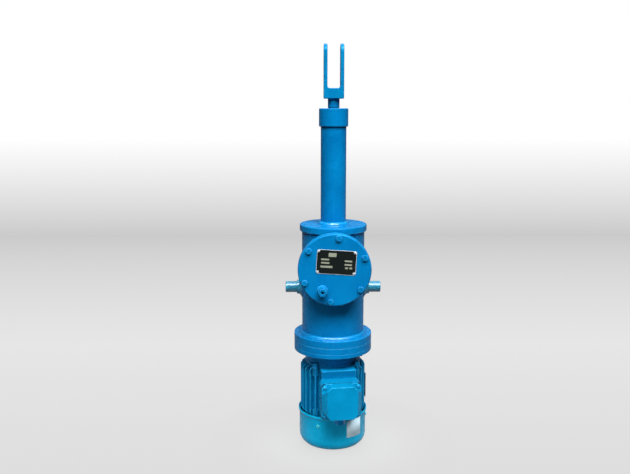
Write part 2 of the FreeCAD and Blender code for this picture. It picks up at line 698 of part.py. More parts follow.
# Motor: fan cowl, fan and rear end
def make_fan_cowl():
    body = new_body("fan_cowl", turn=COWL_TURN)
    revolve(
        body,
        [
            (0, 0),
            (d.cowl_radius, 0, d.cowl_corner),
            (d.cowl_radius, z_frame_low),
            (d.cowl_radius + d.cowl_flare, z_frame_low + d.cowl_flare),
            (d.cowl_radius + d.cowl_flare, d.cowl_height),
            (cowl_inner + d.cowl_flare, d.cowl_height),
            (cowl_inner + d.cowl_flare, z_frame_low + d.cowl_flare),
            (cowl_inner, z_frame_low),
            (cowl_inner, d.cowl_wall, d.cowl_corner - d.cowl_wall),
            (0, d.cowl_wall),
        ],
    )
    pitch = d.grille_slot + d.grille_bar
    starts = [d.grille_hub + pitch * ring for ring in range(GRILLE_RINGS)]
    slots = [rectangle(start, start + d.grille_slot, -d.cowl_wall, 2 * d.cowl_wall) for start in starts]
    cut = groove(body, outline(body, "XZ_Plane", *slots), GRILLE_SECTOR_ANGLE)
    polar(body, [cut], GRILLE_SECTORS)
    hole = circles(body, "YZ_Plane", d.cowl_screw_radius + d.hole_gap, [(0, z_cowl_screw)])
    polar(body, [pocket(body, hole, forwards=True)], COWL_SCREW_COUNT)


def make_cowl_screws():
    body = new_body("cowl_screws", turn=COWL_TURN)
    place = [(0, z_cowl_screw)]
    head = pad(
        body,
        circles(body, "YZ_Plane", d.cowl_screw_head, place, offset=d.cowl_radius),
        d.cowl_screw_head_height,
    )
    shank_start = frame_root + d.cowl_wall
    shank = pad(
        body,
        circles(body, "YZ_Plane", d.cowl_screw_radius, place, offset=shank_start),
        d.cowl_radius - shank_start,
    )
    polar(body, [head, shank], COWL_SCREW_COUNT)


def make_cooling_fan():
    body = new_body("cooling_fan")
    z_blade_low = z_fan_top - d.fan_blade_height
    disc = d.fan_blade_thickness
    bore = d.fan_seat_radius + d.slip_gap
    revolve(
        body,
        [
            (bore, z_blade_low + d.fan_blade_height / 3),
            (d.fan_hub_radius, z_blade_low + d.fan_blade_height / 3),
            (d.fan_hub_radius, z_fan_top - disc),
            (d.fan_radius - d.fan_blade_height / 4, z_fan_top - disc),
            (d.fan_radius - d.fan_blade_height / 4, z_fan_top),
            (bore, z_fan_top),
        ],
    )
    blade = outline(
        body,
        "XZ_Plane",
        [
            (d.fan_hub_radius - d.fan_blade_thickness, z_blade_low + d.fan_blade_height / 2),
            (d.fan_radius - d.fan_blade_height / 2, z_blade_low),
            (d.fan_radius, z_blade_low + d.fan_blade_height / 4),
            (d.fan_radius, z_fan_top),
            (d.fan_hub_radius - d.fan_blade_thickness, z_fan_top),
        ],
    )
    polar(body, [pad(body, blade, d.fan_blade_thickness, symmetric=True)], BLADE_COUNT)


def make_rear_end_shield():
    body = new_body("rear_end_shield", turn=COWL_TURN)
    z_low = z_rear_bearing - d.hub_wall / 2
    z_disc = z_frame_low - d.shield_wall - d.shield_spigot
    seat = d.bearing_outer_radius + d.slip_gap
    spigot = d.frame_bore_radius - d.slip_gap
    revolve(
        body,
        [
            (shaft_hole, z_low),
            (hub_radius, z_low),
            (hub_radius, z_disc),
            (frame_root, z_disc),
            (frame_root, z_frame_low),
            (spigot, z_frame_low),
            (spigot, z_frame_low + d.shield_spigot),
            (spigot - d.shield_wall, z_frame_low + d.shield_spigot),
            (spigot - d.shield_wall, z_disc + d.shield_wall),
            (hub_radius, z_disc + d.shield_wall),
            (hub_radius, z_frame_low + d.bearing_inset),
            (seat, z_frame_low + d.bearing_inset),
            (seat, z_rear_bearing),
            (shaft_hole, z_rear_bearing),
        ],
    )
    lug_half = 2 * d.cowl_screw_radius
    lug = revolve(
        body,
        rectangle(
            frame_root - d.frame_wall,
            cowl_inner - d.slip_gap,
            z_cowl_screw - lug_half,
            z_cowl_screw + lug_half,
        ),
        angle=COWL_LUG_ANGLE,
    )
    link = revolve(
        body,
        rectangle(frame_root - 2 * d.frame_wall, frame_root, z_cowl_screw - lug_half, z_frame_low),
        angle=COWL_LUG_ANGLE,
    )
    polar(body, [lug, link], COWL_SCREW_COUNT)
    ear_turn = d.box_yaw - d.cowl_screw_turn + EAR_ANGLE
    places = on_circle(d.ear_circle, EAR_COUNT, ear_turn)
    z_ear = z_frame_low - d.ear_thickness
    pad(body, circles(body, "XY_Plane", d.ear_radius, places, offset=z_ear), d.ear_thickness)
    holes = circles(body, "XY_Plane", d.shield_bolt_radius + d.hole_gap, places, offset=z_ear - OVERCUT)
    pocket(body, holes, d.ear_thickness + OVERCUT, forwards=True)
    spots = circles(body, "XY_Plane", d.ear_radius, places, offset=z_ear)
    pocket(body, spots, z_ear - z_disc)
    tapped = circles(
        body, "YZ_Plane", d.cowl_screw_radius + d.slip_gap, [(0, z_cowl_screw)], offset=frame_root + OVERCUT
    )
    polar(body, [pocket(body, tapped, cowl_inner, forwards=True)], COWL_SCREW_COUNT)


# Motor: frame, windings and flange shield
def make_stator_frame():
    body = new_body("stator_frame", turn=FRAME_YAW)
    inside = d.frame_bore_radius - d.frame_wall
    revolve(body, rectangle(inside, frame_root, z_frame_low, z_frame_top))
    places = on_circle(d.ear_circle, EAR_COUNT, EAR_ANGLE)
    lugs = circles(body, "XY_Plane", d.ear_radius, places, offset=z_frame_low)
    pad(body, lugs, d.ear_depth)
    lugs = circles(body, "XY_Plane", d.ear_radius, places, offset=z_frame_top - d.ear_depth)
    pad(body, lugs, d.ear_depth)
    seat = outline(
        body,
        "XZ_Plane",
        rectangle(-d.pad_width / 2, d.pad_width / 2, z_frame_low + d.pad_inset, z_frame_top),
        offset=inside,
    )
    pad(body, seat, d.pad_face_radius - inside)
    low, high = z_frame_low + d.fin_inset, z_frame_top - d.fin_inset
    fin = outline(
        body,
        "XZ_Plane",
        [
            (inside, low),
            (d.fin_tip_radius - d.fin_chamfer, low),
            (d.fin_tip_radius, low + d.fin_chamfer),
            (d.fin_tip_radius, high - d.fin_chamfer),
            (d.fin_tip_radius - d.fin_chamfer, high),
            (inside, high),
        ],
    )
    polar(body, [pad(body, fin, d.fin_thickness, symmetric=True)], FIN_COUNT)
    bore = circles(body, "XY_Plane", d.frame_bore_radius, [(0, 0)], offset=z_frame_low - OVERCUT)
    pocket(body, bore, d.frame_length + 2 * OVERCUT, forwards=True)
    tapped = d.shield_bolt_radius + d.slip_gap
    depth = d.ear_depth - d.ear_thickness
    pocket(body, circles(body, "XY_Plane", tapped, places, offset=z_frame_low), depth, forwards=True)
    pocket(body, circles(body, "XY_Plane", tapped, places, offset=z_frame_top), depth)
    lead = circles(body, "XZ_Plane", d.lead_hole_radius, [(0, z_box)], offset=inside)
    pocket(body, lead, d.pad_face_radius, forwards=True)


def make_stator_core():
    body = new_body("stator_core")
    outer = d.frame_bore_radius - d.slip_gap
    revolve(body, rectangle(d.core_bore_radius, outer, z_core_low, z_core_top))
    slot = outline(
        body,
        "XY_Plane",
        rectangle(
            d.core_bore_radius - OVERCUT,
            d.core_bore_radius + d.slot_depth,
            -d.slot_width / 2,
            d.slot_width / 2,
        ),
        offset=z_core_low - OVERCUT,
    )
    polar(body, [pocket(body, slot, d.core_length + 2 * OVERCUT, forwards=True)], SLOT_COUNT)


def make_stator_windings():
    body = new_body("stator_windings")
    inner = d.core_bore_radius + d.slot_width / 2
    outer = d.core_bore_radius + d.slot_depth + d.slot_width / 2
    rounding = d.slot_width / 2
    revolve(
        body,
        rectangle(inner, outer, z_core_low - d.winding_overhang, z_core_low - d.slip_gap, rounding),
        rectangle(inner, outer, z_core_top + d.slip_gap, z_core_top + d.winding_overhang, rounding),
    )
    half = d.slot_width / 2 - d.slip_gap
    bar = outline(
        body,
        "XY_Plane",
        rectangle(inner + rounding, d.core_bore_radius + d.slot_depth - d.slip_gap, -half, half),
        offset=z_core_low - d.slot_width,
    )
    polar(body, [pad(body, bar, d.core_length + 2 * d.slot_width)], SLOT_COUNT)


def make_flange_end_shield():
    body = new_body("flange_end_shield", turn=FRAME_YAW)
    spigot_low = d.frame_bore_radius - d.slip_gap
    seat = d.bearing_outer_radius + d.slip_gap
    cavity = spigot_low - d.shield_wall
    z_roof_low = z_flange_low - d.shield_wall
    z_bearing_top = z_front_bearing + d.bearing_width
    revolve(
        body,
        [
            (shaft_hole, z_bearing_top),
            (shaft_hole, z_flange_top + d.spigot_height),
            (d.spigot_radius - d.slip_gap, z_flange_top + d.spigot_height),
            (d.spigot_radius - d.slip_gap, z_flange_top),
            (d.flange_radius, z_flange_top),
            (d.flange_radius, z_flange_low),
            (d.bell_radius, z_flange_low),
            (d.bell_radius, z_frame_top + d.ear_thickness),
            (frame_root, z_frame_top + d.ear_thickness),
            (frame_root, z_frame_top),
            (spigot_low, z_frame_top),
            (spigot_low, z_frame_top - d.shield_spigot),
            (cavity, z_frame_top - d.shield_spigot),
            (cavity, z_roof_low),
            (hub_radius, z_roof_low),
            (hub_radius, z_front_bearing),
            (seat, z_front_bearing),
            (seat, z_bearing_top),
        ],
    )
    places = on_circle(d.ear_circle, EAR_COUNT, EAR_ANGLE)
    ears = circles(body, "XY_Plane", d.ear_radius, places, offset=z_frame_top)
    pad(body, ears, d.ear_thickness)
    holes = circles(body, "XY_Plane", d.shield_bolt_radius + d.hole_gap, places, offset=z_frame_top - OVERCUT)
    pocket(body, holes, d.ear_thickness + OVERCUT, forwards=True)
    spots = circles(
        body,
        "XY_Plane",
        d.ear_radius,
        places,
        offset=z_frame_top + d.ear_thickness,
    )
    pocket(body, spots, d.bell_height - d.ear_thickness - d.shield_wall, forwards=True)
    bolt_places = on_circle(d.flange_bolt_circle, FLANGE_BOLT_COUNT, EAR_ANGLE)
    bolt_holes = circles(
        body, "XY_Plane", d.flange_bolt_radius + d.hole_gap, bolt_places, offset=z_flange_low - OVERCUT
    )
    pocket(body, bolt_holes, d.motor_flange_thickness + 2 * OVERCUT, forwards=True)


def make_shield_bolts():
    places = on_circle(d.ear_circle, EAR_COUNT, EAR_ANGLE)
    length = d.ear_depth - d.ear_thickness
    rear = hex_bolts(
        "rear_shield_bolts",
        places,
        d.shield_bolt_flats,
        d.shield_bolt_head,
        d.shield_bolt_radius,
        length,
        z=z_frame_low - d.ear_thickness,
        turn=FRAME_YAW,
        node=False,
    )
    mirrored = [(x, -y) for x, y in places]
    front = hex_bolts(
        "front_shield_bolts",
        mirrored,
        d.shield_bolt_flats,
        d.shield_bolt_head,
        d.shield_bolt_radius,
        length,
        z=z_frame_top + d.ear_thickness,
        turn=FRAME_YAW.multiply(FACING_DOWN),
        node=False,
    )
    new_group("shield_bolts", [rear, front])


# Motor: bearings, shaft and rotor
def bearing_levels():
    return (z_rear_bearing, z_front_bearing)


def cut_races(body):
    """The ball grooves of both bearings."""
    places = [(d.ball_circle, low + d.bearing_width / 2) for low in bearing_levels()]
    groove(body, circles(body, "XZ_Plane", d.ball_radius + d.running_gap, places))


def make_bearings():
    outer = new_body("bearing_outer_rings")
    inside = d.ball_circle + d.race_gap / 2
    revolve(
        outer,
        *(
            rectangle(inside, d.bearing_outer_radius, low, low + d.bearing_width)
            for low in bearing_levels()
        ),
    )
    cut_races(outer)
    inner = new_body("bearing_inner_rings")
    outside = d.ball_circle - d.race_gap / 2
    revolve(
        inner,
        *(
            rectangle(d.bearing_bore_radius, outside, low, low + d.bearing_width)
            for low in bearing_levels()
        ),
    )
    cut_races(inner)
    balls = new_body("bearing_balls")
    for low in bearing_levels():
        ball = balls.newObject("PartDesign::AdditiveSphere", "ball")
        ball.setExpression("Radius", d.ball_radius.formula)
        ball.setExpression("Placement.Base.x", d.ball_circle.formula)
        ball.setExpression("Placement.Base.z", (low + d.bearing_width / 2).formula)
        balls.Tip = ball
    spheres = [item for item in balls.Group if item.TypeId == "PartDesign::AdditiveSphere"]
    polar(balls, spheres, BALL_COUNT)


def make_rotor_shaft():
    body = new_body("rotor_shaft")
    journal = d.bearing_bore_radius - d.slip_gap
    z_tail = z_fan_top - d.fan_blade_height + d.fan_blade_height / 4
    revolve(
        body,
        [
            (0, z_tail),
            (d.fan_seat_radius, z_tail),
            (d.fan_seat_radius, z_rear_bearing),
            (journal, z_rear_bearing),
            (journal, z_rear_bearing + d.bearing_width),
            (d.shaft_seat_radius - d.shaft_step, z_rear_bearing + d.bearing_width),
            (d.shaft_seat_radius - d.shaft_step, z_core_low - d.end_ring_height),
            (d.shaft_seat_radius, z_core_low - d.end_ring_height),
            (d.shaft_seat_radius, z_core_top + d.end_ring_height),
            (d.shaft_seat_radius - d.shaft_step, z_core_top + d.end_ring_height),
            (d.shaft_seat_radius - d.shaft_step, z_front_bearing),
            (journal, z_front_bearing),
            (journal, z_front_bearing + d.bearing_width),
            (d.shaft_radius, z_front_bearing + d.bearing_width),
            (d.shaft_radius, z_shaft_end),
            (0, z_shaft_end),
        ],
    )


def make_rotor_core():
    body = new_body("rotor_core")
    outer = d.core_bore_radius - d.air_gap
    bore = d.shaft_seat_radius + d.slip_gap
    ring_outer = outer - d.end_ring_height / 4
    ring_inner = outer - 2 * d.end_ring_height
    revolve(
        body,
        [
            (bore, z_core_low),
            (ring_inner, z_core_low),
            (ring_inner, z_core_low - d.end_ring_height),
            (ring_outer, z_core_low - d.end_ring_height),
            (ring_outer, z_core_low),
            (outer, z_core_low),
            (outer, z_core_top),
            (ring_outer, z_core_top),
            (ring_outer, z_core_top + d.end_ring_height),
            (ring_inner, z_core_top + d.end_ring_height),
            (ring_inner, z_core_top),
            (bore, z_core_top),
        ],
    )


# Motor: terminal box
def box_outline(body, inset, corner, offset, inset_up=None):
    up = inset if inset_up is None else inset_up
    return outline(
        body,
        "XY_Plane",
        middle_rectangle(d.box_width - 2 * inset, d.box_height - 2 * up, corner, y=z_box),
        offset=offset,
    )


def lid_screw_places():
    return corners_of(d.box_width, d.box_height, d.lid_screw_inset, y=z_box)


def lid_corner_cuts(side):
    """Triangles that take the lid's corners off, each side's length along the box's sides."""
    wide, high = d.box_width / 2 + OVERCUT, d.box_height / 2 + OVERCUT
    reach = side + 2 * OVERCUT
    triangles = []
    for across, along in ((1, 1), (-1, 1), (-1, -1), (1, -1)):
        x, y = across * wide, z_box + along * high
        triangles.append([(x, y), (x - across * reach, y), (x, y - along * reach)])
    return triangles


def make_terminal_box():
    body = new_body("terminal_box", turn=BOX_FRONT)
    pad(body, box_outline(body, as_size(0), d.box_corner, r_box_back), d.box_depth)
    cavity = box_outline(body, d.box_wall, d.box_inner_corner, r_box_front)
    pocket(body, cavity, d.box_depth - d.box_wall)
    lead = circles(body, "XY_Plane", d.lead_hole_radius, [(0, z_box)], offset=r_box_front)
    pocket(body, lead, d.box_depth + OVERCUT)
    tapped = circles(
        body, "XY_Plane", d.lid_screw_radius + d.slip_gap, lid_screw_places(), offset=r_box_front,
    )
    pocket(body, tapped, d.box_depth / 2)
    entry = circles(
        body,
        "XZ_Plane",
        d.gland_thread_radius + d.slip_gap,
        [(0, r_gland)],
        offset=-(z_box_low + d.box_wall + OVERCUT),
    )
    pocket(body, entry, d.box_wall + 2 * OVERCUT, forwards=True)


def make_terminal_box_gasket():
    body = new_body("terminal_box_gasket", turn=BOX_FRONT)
    pad(body, box_outline(body, as_size(0), d.box_corner, r_box_front), d.box_gasket_thickness)
    opening = box_outline(body, d.box_wall, d.box_inner_corner, r_box_front)
    pocket(body, opening, d.box_gasket_thickness + OVERCUT, forwards=True)
    holes = circles(body, "XY_Plane", d.lid_screw_radius + d.hole_gap, lid_screw_places(), offset=r_box_front)
    pocket(body, holes, d.box_gasket_thickness + OVERCUT, forwards=True)


def make_terminal_box_lid():
    body = new_body("terminal_box_lid", turn=BOX_FRONT)
    pad(body, box_outline(body, as_size(0), d.box_corner, r_lid_back), d.lid_skirt)
    wide = box_outline(body, as_size(0), d.box_corner, r_lid_step)
    narrow = box_outline(body, d.lid_taper, d.lid_corner, r_lid_front, d.lid_slope)
    loft = feature(body, "AdditiveLoft", wide)
    loft.Sections = [narrow]
    across, up = d.lid_taper + d.lid_wall, d.lid_slope + d.lid_wall
    hollow = box_outline(body, across, d.box_inner_corner, r_lid_back, up)
    pocket(body, hollow, d.lid_skirt + d.lid_depth - d.lid_wall, forwards=True)
    ledges = outline(body, "XY_Plane", *lid_corner_cuts(d.lid_ledge), offset=r_screw_seat)
    pocket(body, ledges, d.lid_depth + OVERCUT, forwards=True)
    cuts = outline(body, "XY_Plane", *lid_corner_cuts(d.lid_cut), offset=r_lid_back - OVERCUT)
    pocket(body, cuts, d.lid_skirt + 2 * OVERCUT, forwards=True)
    places = lid_screw_places()
    holes = circles(body, "XY_Plane", d.lid_screw_radius + d.hole_gap, places, offset=r_lid_back - OVERCUT)
    pocket(body, holes, d.lid_skirt + 2 * OVERCUT, forwards=True)


def make_terminal_lid_screws():
    body = new_body("terminal_lid_screws", turn=BOX_FRONT)
    places = lid_screw_places()
    pad(body, circles(body, "XY_Plane", d.lid_screw_head, places, offset=r_screw_seat), d.lid_screw_radius)
    z_tip = r_box_front - d.box_depth / 2 + d.hole_gap
    shanks = circles(body, "XY_Plane", d.lid_screw_radius, places, offset=z_tip)
    pad(body, shanks, r_screw_seat - z_tip)


def make_terminal_board():
    board = new_body("terminal_block", turn=BOX_FRONT, node=False)
    floor = r_box_back + d.box_wall
    y_board = z_box + d.box_wall
    middle = middle_rectangle(d.board_width, d.board_height, y=y_board)
    pad(board, outline(board, "XY_Plane", middle, offset=floor), d.board_thickness)
    places = [
        (column * d.stud_pitch, y_board + row * d.stud_pitch / 2) for row in (-1, 1) for column in (-1, 0, 1)
    ]
    studs = new_body("terminal_stud_set", turn=BOX_FRONT, node=False)
    top = floor + d.board_thickness
    nuts = [hexagon(d.stud_nut_flats, *place) for place in places]
    pad(studs, outline(studs, "XY_Plane", *nuts, offset=top), 2 * d.stud_radius)
    pad(studs, circles(studs, "XY_Plane", d.stud_radius, places, offset=top), d.stud_height)
    new_group("terminal_board", [board, studs])


def make_cable_gland():
    yaw = d.box_yaw
    place = {"x": r_gland * sine(yaw), "y": -(r_gland * cosine(yaw)), "turn": FRAME_YAW, "node": False}
    stem = new_body("gland_stem", **place)
    z_collar = z_box_low - d.gland_collar
    z_stem_low = z_collar - d.gland_nut_height / 2
    bore = d.gland_bore_radius
    pad(
        stem,
        outline(stem, "XY_Plane", hexagon(d.gland_flats), offset=z_collar),
        d.gland_collar,
    )
    z_stem_top = z_box_low + d.box_wall + d.gland_collar
    thread = circles(stem, "XY_Plane", d.gland_thread_radius, [(0, 0)], offset=z_stem_low)
    pad(stem, thread, z_stem_top - z_stem_low)
    hole = circles(stem, "XY_Plane", bore, [(0, 0)], offset=z_stem_low - OVERCUT)
    pocket(stem, hole, z_stem_top - z_stem_low + 2 * OVERCUT, forwards=True)
    nut = new_body("gland_nut", **place)
    z_nut_top = z_collar - d.hole_gap
    z_nut_base = z_nut_top - d.gland_nut_height
    pad(nut, outline(nut, "XY_Plane", hexagon(d.gland_flats), offset=z_nut_base), d.gland_nut_height)
    inside = circles(nut, "XY_Plane", d.gland_thread_radius + d.slip_gap, [(0, 0)], offset=z_nut_top)
    pocket(nut, inside, d.gland_nut_height / 2 + OVERCUT)
    mouth = circles(nut, "XY_Plane", bore, [(0, 0)], offset=z_nut_top)
    pocket(nut, mouth, d.gland_nut_height + OVERCUT)
    new_group("cable_gland", [stem, nut])


def make_rating_plate():
    turn = FRAME_YAW.multiply(FACING_RIGHT)
    body = new_body("rating_plate", turn=turn)
    z_plate = z_core_low + d.core_length / 2
    middle = middle_rectangle(d.rating_height, d.rating_width, x=-z_plate)
    pad(body, outline(body, "XY_Plane", middle, offset=d.fin_tip_radius), d.plate_thickness)


# Flange stack
def make_flange_bolts():
    length = d.motor_flange_thickness + d.pump_plate_thickness + d.gasket_thickness + d.bolt_engagement
    hex_bolts(
        "flange_bolts",
        on_circle(d.flange_bolt_circle, FLANGE_BOLT_COUNT, EAR_ANGLE),
        d.flange_bolt_flats,
        d.flange_bolt_head,
        d.flange_bolt_radius,
        length,
        z=z_flange_low,
        turn=FRAME_YAW,
    )


def flange_holes(body, radius, start, depth):
    places = on_circle(d.flange_bolt_circle, FLANGE_BOLT_COUNT, EAR_ANGLE)
    pocket(body, circles(body, "XY_Plane", radius, places, offset=start), depth, forwards=True)


def make_pump_plate():
    body = new_body("pump_plate", turn=FRAME_YAW)
    recess = z_flange_top + d.spigot_height + d.hole_gap
    revolve(
        body,
        [
            (d.seal_radius + d.slip_gap, recess),
            (d.spigot_radius, recess),
            (d.spigot_radius, z_flange_top),
            (d.flange_radius, z_flange_top),
            (d.flange_radius, z_plate_top),
            (d.seal_radius + d.slip_gap, z_plate_top),
        ],
    )
    flange_holes(
        body, d.flange_bolt_radius + d.hole_gap, z_flange_top - OVERCUT, d.pump_plate_thickness + 2 * OVERCUT,
    )
    turned_back = [turn_by(place, -d.box_yaw) for place in pump_bolt_places()]
    tapped = circles(body, "XY_Plane", d.pump_bolt_radius + d.slip_gap, turned_back, offset=z_plate_top)
    pocket(body, tapped, d.pump_bolt_engagement + d.hole_gap)


def turn_by(place, degrees):
    """A place turned about the main axis."""
    x, y = place
    return (x * cosine(degrees) - y * sine(degrees), x * sine(degrees) + y * cosine(degrees))


def make_flange_gasket():
    body = new_body("flange_gasket", turn=FRAME_YAW)
    revolve(body, rectangle(d.tank_flange_bore, d.flange_radius, z_plate_top, z_gasket_top))
    flange_holes(
        body, d.flange_bolt_radius + d.hole_gap, z_plate_top - OVERCUT, d.gasket_thickness + 2 * OVERCUT,
    )


def make_shaft_seal():
    body = new_body("shaft_seal")
    lip = d.shaft_radius + d.running_gap
    z_low = z_plate_top - d.seal_height
    wall = (d.seal_radius - d.shaft_radius) / 4
    revolve(
        body,
        [
            (lip, z_low),
            (d.seal_radius, z_low),
            (d.seal_radius, z_plate_top),
            (d.seal_radius - wall, z_plate_top),
            (d.seal_radius - wall, z_low + wall),
            (lip + wall, z_low + wall),
            (lip + wall, z_low + 2 * wall),
            (lip, z_low + 2 * wall),
        ],
    )


def make_reservoir_flange():
    body = new_body("reservoir_flange", turn=FRAME_YAW)
    revolve(body, rectangle(d.tank_flange_bore, d.flange_radius, z_gasket_top, z_shell_low))
    flange_holes(body, d.flange_bolt_radius + d.slip_gap, z_gasket_top, d.bolt_engagement + OVERCUT)


# Reservoir
def make_reservoir_shell():
    body = new_body("reservoir_shell")
    inner = d.shell_radius - d.shell_wall
    revolve(body, rectangle(inner, d.shell_radius, z_shell_low, z_shell_top))
    window = circles(body, "XZ_Plane", d.window_radius, [(0, z_window)])
    pocket(body, window, d.shell_radius + OVERCUT, forwards=True)


def make_top_plate():
    body = new_body("top_plate")
    revolve(
        body,
        [
            (d.tube_radius + d.slip_gap, z_shell_top),
            (d.top_plate_radius, z_shell_top, d.top_plate_round),
            (d.top_plate_radius, z_top, d.top_plate_round),
            (d.tube_radius + d.slip_gap, z_top),
        ],
    )
    tapped = circles(
        body, "XY_Plane", d.block_bolt_radius + d.slip_gap, block_bolt_places(), offset=z_shell_top,
    )
    pocket(body, tapped, d.block_bolt_engagement + OVERCUT, forwards=True)


def make_trunnion(label, turn):
    """A turned pin on a boss that is cut to sit on the round shell."""
    body = new_body(label, z=z_trunnion, turn=turn)
    tip = d.trunnion_span / 2
    collar = d.shell_radius + d.trunnion_boss
    shoulder = collar + d.trunnion_collar
    start = d.shell_radius / 2
    revolve(
        body,
        [
            (0, start),
            (d.trunnion_boss_radius, start),
            (d.trunnion_boss_radius, d.shell_radius),
            (d.trunnion_collar_radius, collar),
            (d.trunnion_collar_radius, shoulder),
            (d.trunnion_radius, shoulder),
            (d.trunnion_radius, tip),
            (0, tip),
        ],
    )
    saddle = circles(body, "YZ_Plane", d.shell_radius, [(0, 0)])
    pocket(body, saddle, symmetric=True)


def make_inspection_neck():
    body = new_body("inspection_neck", z=z_window, turn=FACING_FRONT)
    outer = d.window_radius + d.neck_wall
    ring_front = d.neck_reach + d.neck_ring_thickness
    revolve(
        body,
        [
            (d.window_radius, d.shell_radius / 4),
            (outer, d.shell_radius / 4),
            (outer, d.neck_reach),
            (d.cover_radius, d.neck_reach),
            (d.cover_radius, ring_front),
            (d.window_radius, ring_front),
        ],
    )
    pocket(body, circles(body, "XZ_Plane", d.shell_radius, [(0, 0)]), symmetric=True)
    tapped = circles(
        body, "XY_Plane", d.cover_bolt_radius + d.slip_gap, cover_bolt_places(), offset=ring_front,
    )
    pocket(body, tapped, d.neck_ring_thickness + OVERCUT)


def cover_bolt_places():
    return on_circle(d.cover_bolt_circle, COVER_BOLT_COUNT, d.cover_bolt_turn)


def make_cover_gasket():
    body = new_body("cover_gasket", z=z_window, turn=FACING_FRONT)
    revolve(body, rectangle(d.window_radius, d.cover_radius, y_gasket, y_cover_back))
    holes = circles(
        body, "XY_Plane", d.cover_bolt_radius + d.hole_gap, cover_bolt_places(), offset=y_gasket - OVERCUT,
    )
    pocket(body, holes, d.cover_gasket_thickness + 2 * OVERCUT, forwards=True)


def filler_place():
    return (-d.filler_left, -d.filler_down)


def nameplate_rivet_places():
    """The nameplate's rivets, measured from the cover's centre."""
    corners = corners_of(d.nameplate_width, d.nameplate_height, d.rivet_inset)
    turned = [turn_by(corner, -d.nameplate_tilt) for corner in corners]
    return [(x + d.nameplate_right, y + d.nameplate_up) for x, y in turned]


def make_inspection_cover():
    body = new_body("inspection_cover", z=z_window, turn=FACING_FRONT)
    revolve(
        body,
        [
            (0, y_cover_back),
            (d.cover_radius, y_cover_back),
            (d.cover_radius, y_cover_front - d.cover_chamfer),
            (d.cover_radius - d.cover_chamfer, y_cover_front),
            (0, y_cover_front),
        ],
    )
    holes = circles(
        body, "XY_Plane", d.cover_bolt_radius + d.hole_gap, cover_bolt_places(), offset=y_cover_front
    )
    pocket(body, holes, d.cover_thickness + OVERCUT)
    boss = circles(body, "XY_Plane", d.filler_boss_radius, [filler_place()], offset=y_cover_front)
    pad(body, boss, d.filler_boss_height)
    y_boss = y_cover_front + d.filler_boss_height
    thread = circles(body, "XY_Plane", d.filler_thread_radius + d.slip_gap, [filler_place()], offset=y_boss)
    pocket(body, thread, d.filler_boss_height + d.cover_thickness + OVERCUT)
    rivets = circles(
        body, "XY_Plane", d.rivet_radius + d.slip_gap, nameplate_rivet_places(), offset=y_cover_front
    )
    pocket(body, rivets, d.rivet_depth + d.hole_gap)


def make_cover_bolts():
    length = d.cover_thickness + d.cover_gasket_thickness + d.neck_ring_thickness
    mirrored = [(x, -y) for x, y in cover_bolt_places()]
    hex_bolts(
        "cover_bolts",
        mirrored,
        d.cover_bolt_flats,
        d.cover_bolt_head,
        d.cover_bolt_radius,
        length,
        y=-y_cover_front,
        z=z_window,
        turn=FACING_FRONT.multiply(FACING_DOWN),
    )


def make_nameplate():
    turn = FACING_FRONT.multiply(FreeCAD.Rotation(Z_AXIS, -d.nameplate_tilt.number))
    place = {
        "x": d.nameplate_right,
        "y": -y_cover_front,
        "z": z_window + d.nameplate_up,
        "turn": turn,
    }
    plate = new_body("nameplate", **place)
    shape = middle_rectangle(d.nameplate_width, d.nameplate_height, d.nameplate_corner)
    pad(plate, outline(plate, "XY_Plane", shape), d.plate_thickness)
    corners = corners_of(d.nameplate_width, d.nameplate_height, d.rivet_inset)
    holes = circles(plate, "XY_Plane", d.rivet_radius + d.slip_gap, corners)
    pocket(plate, holes, d.plate_thickness + OVERCUT, forwards=True)
    rivets = new_body("nameplate_rivets", **place)
    heads = circles(rivets, "XY_Plane", d.rivet_head, corners, offset=d.plate_thickness)
    pad(rivets, heads, d.rivet_radius)
    shanks = circles(rivets, "XY_Plane", d.rivet_radius, corners, offset=-d.rivet_depth)
    pad(rivets, shanks, d.rivet_depth + d.plate_thickness)


def make_filler_plug():
    body = new_body("filler_plug", z=z_window, turn=FACING_FRONT)
    y_boss = y_cover_front + d.filler_boss_height
    head = hexagon(d.filler_head_flats, *filler_place())
    pad(body, outline(body, "XY_Plane", head, offset=y_boss), d.filler_head_height)
    shank = d.filler_boss_height + d.cover_thickness / 2
    thread = circles(body, "XY_Plane", d.filler_thread_radius, [filler_place()], offset=y_boss - shank)
    pad(body, thread, shank)
    socket = circles(
        body,
        "XY_Plane",
        d.filler_thread_radius / 2,
        [filler_place()],
        offset=y_boss + d.filler_head_height,
    )
    pocket(body, socket, d.filler_head_height / 2)


# Pump and its drive
def pump_bolt_places():
    """Bolt places seen from above, inset from the pump's sides and kept on the bracket's flange."""
    across = pump_half_width - d.pump_bolt_inset
    back = pump_back + d.pump_bolt_inset
    front = gear_distance + d.pump_bolt_inset
    return [(across, back), (-across, back), (-across, front), (across, front)]


def pump_outline(body, offset):
    shape = rectangle(-pump_half_width, pump_half_width, pump_back, pump_front, d.pump_corner)
    return outline(body, "XY_Plane", shape, offset=offset)


def gear_centres():
    return [(0, 0), (0, gear_distance)]


def pump_section(label, low, high):
    """A slice of the pump with its four bolt holes."""
    body = new_body(label)
    pad(body, pump_outline(body, low), high - low)
    holes = circles(
        body, "XY_Plane", d.pump_bolt_radius + d.hole_gap, pump_bolt_places(), offset=low - OVERCUT,
    )
    pocket(body, holes, high - low + 2 * OVERCUT, forwards=True)
    return body


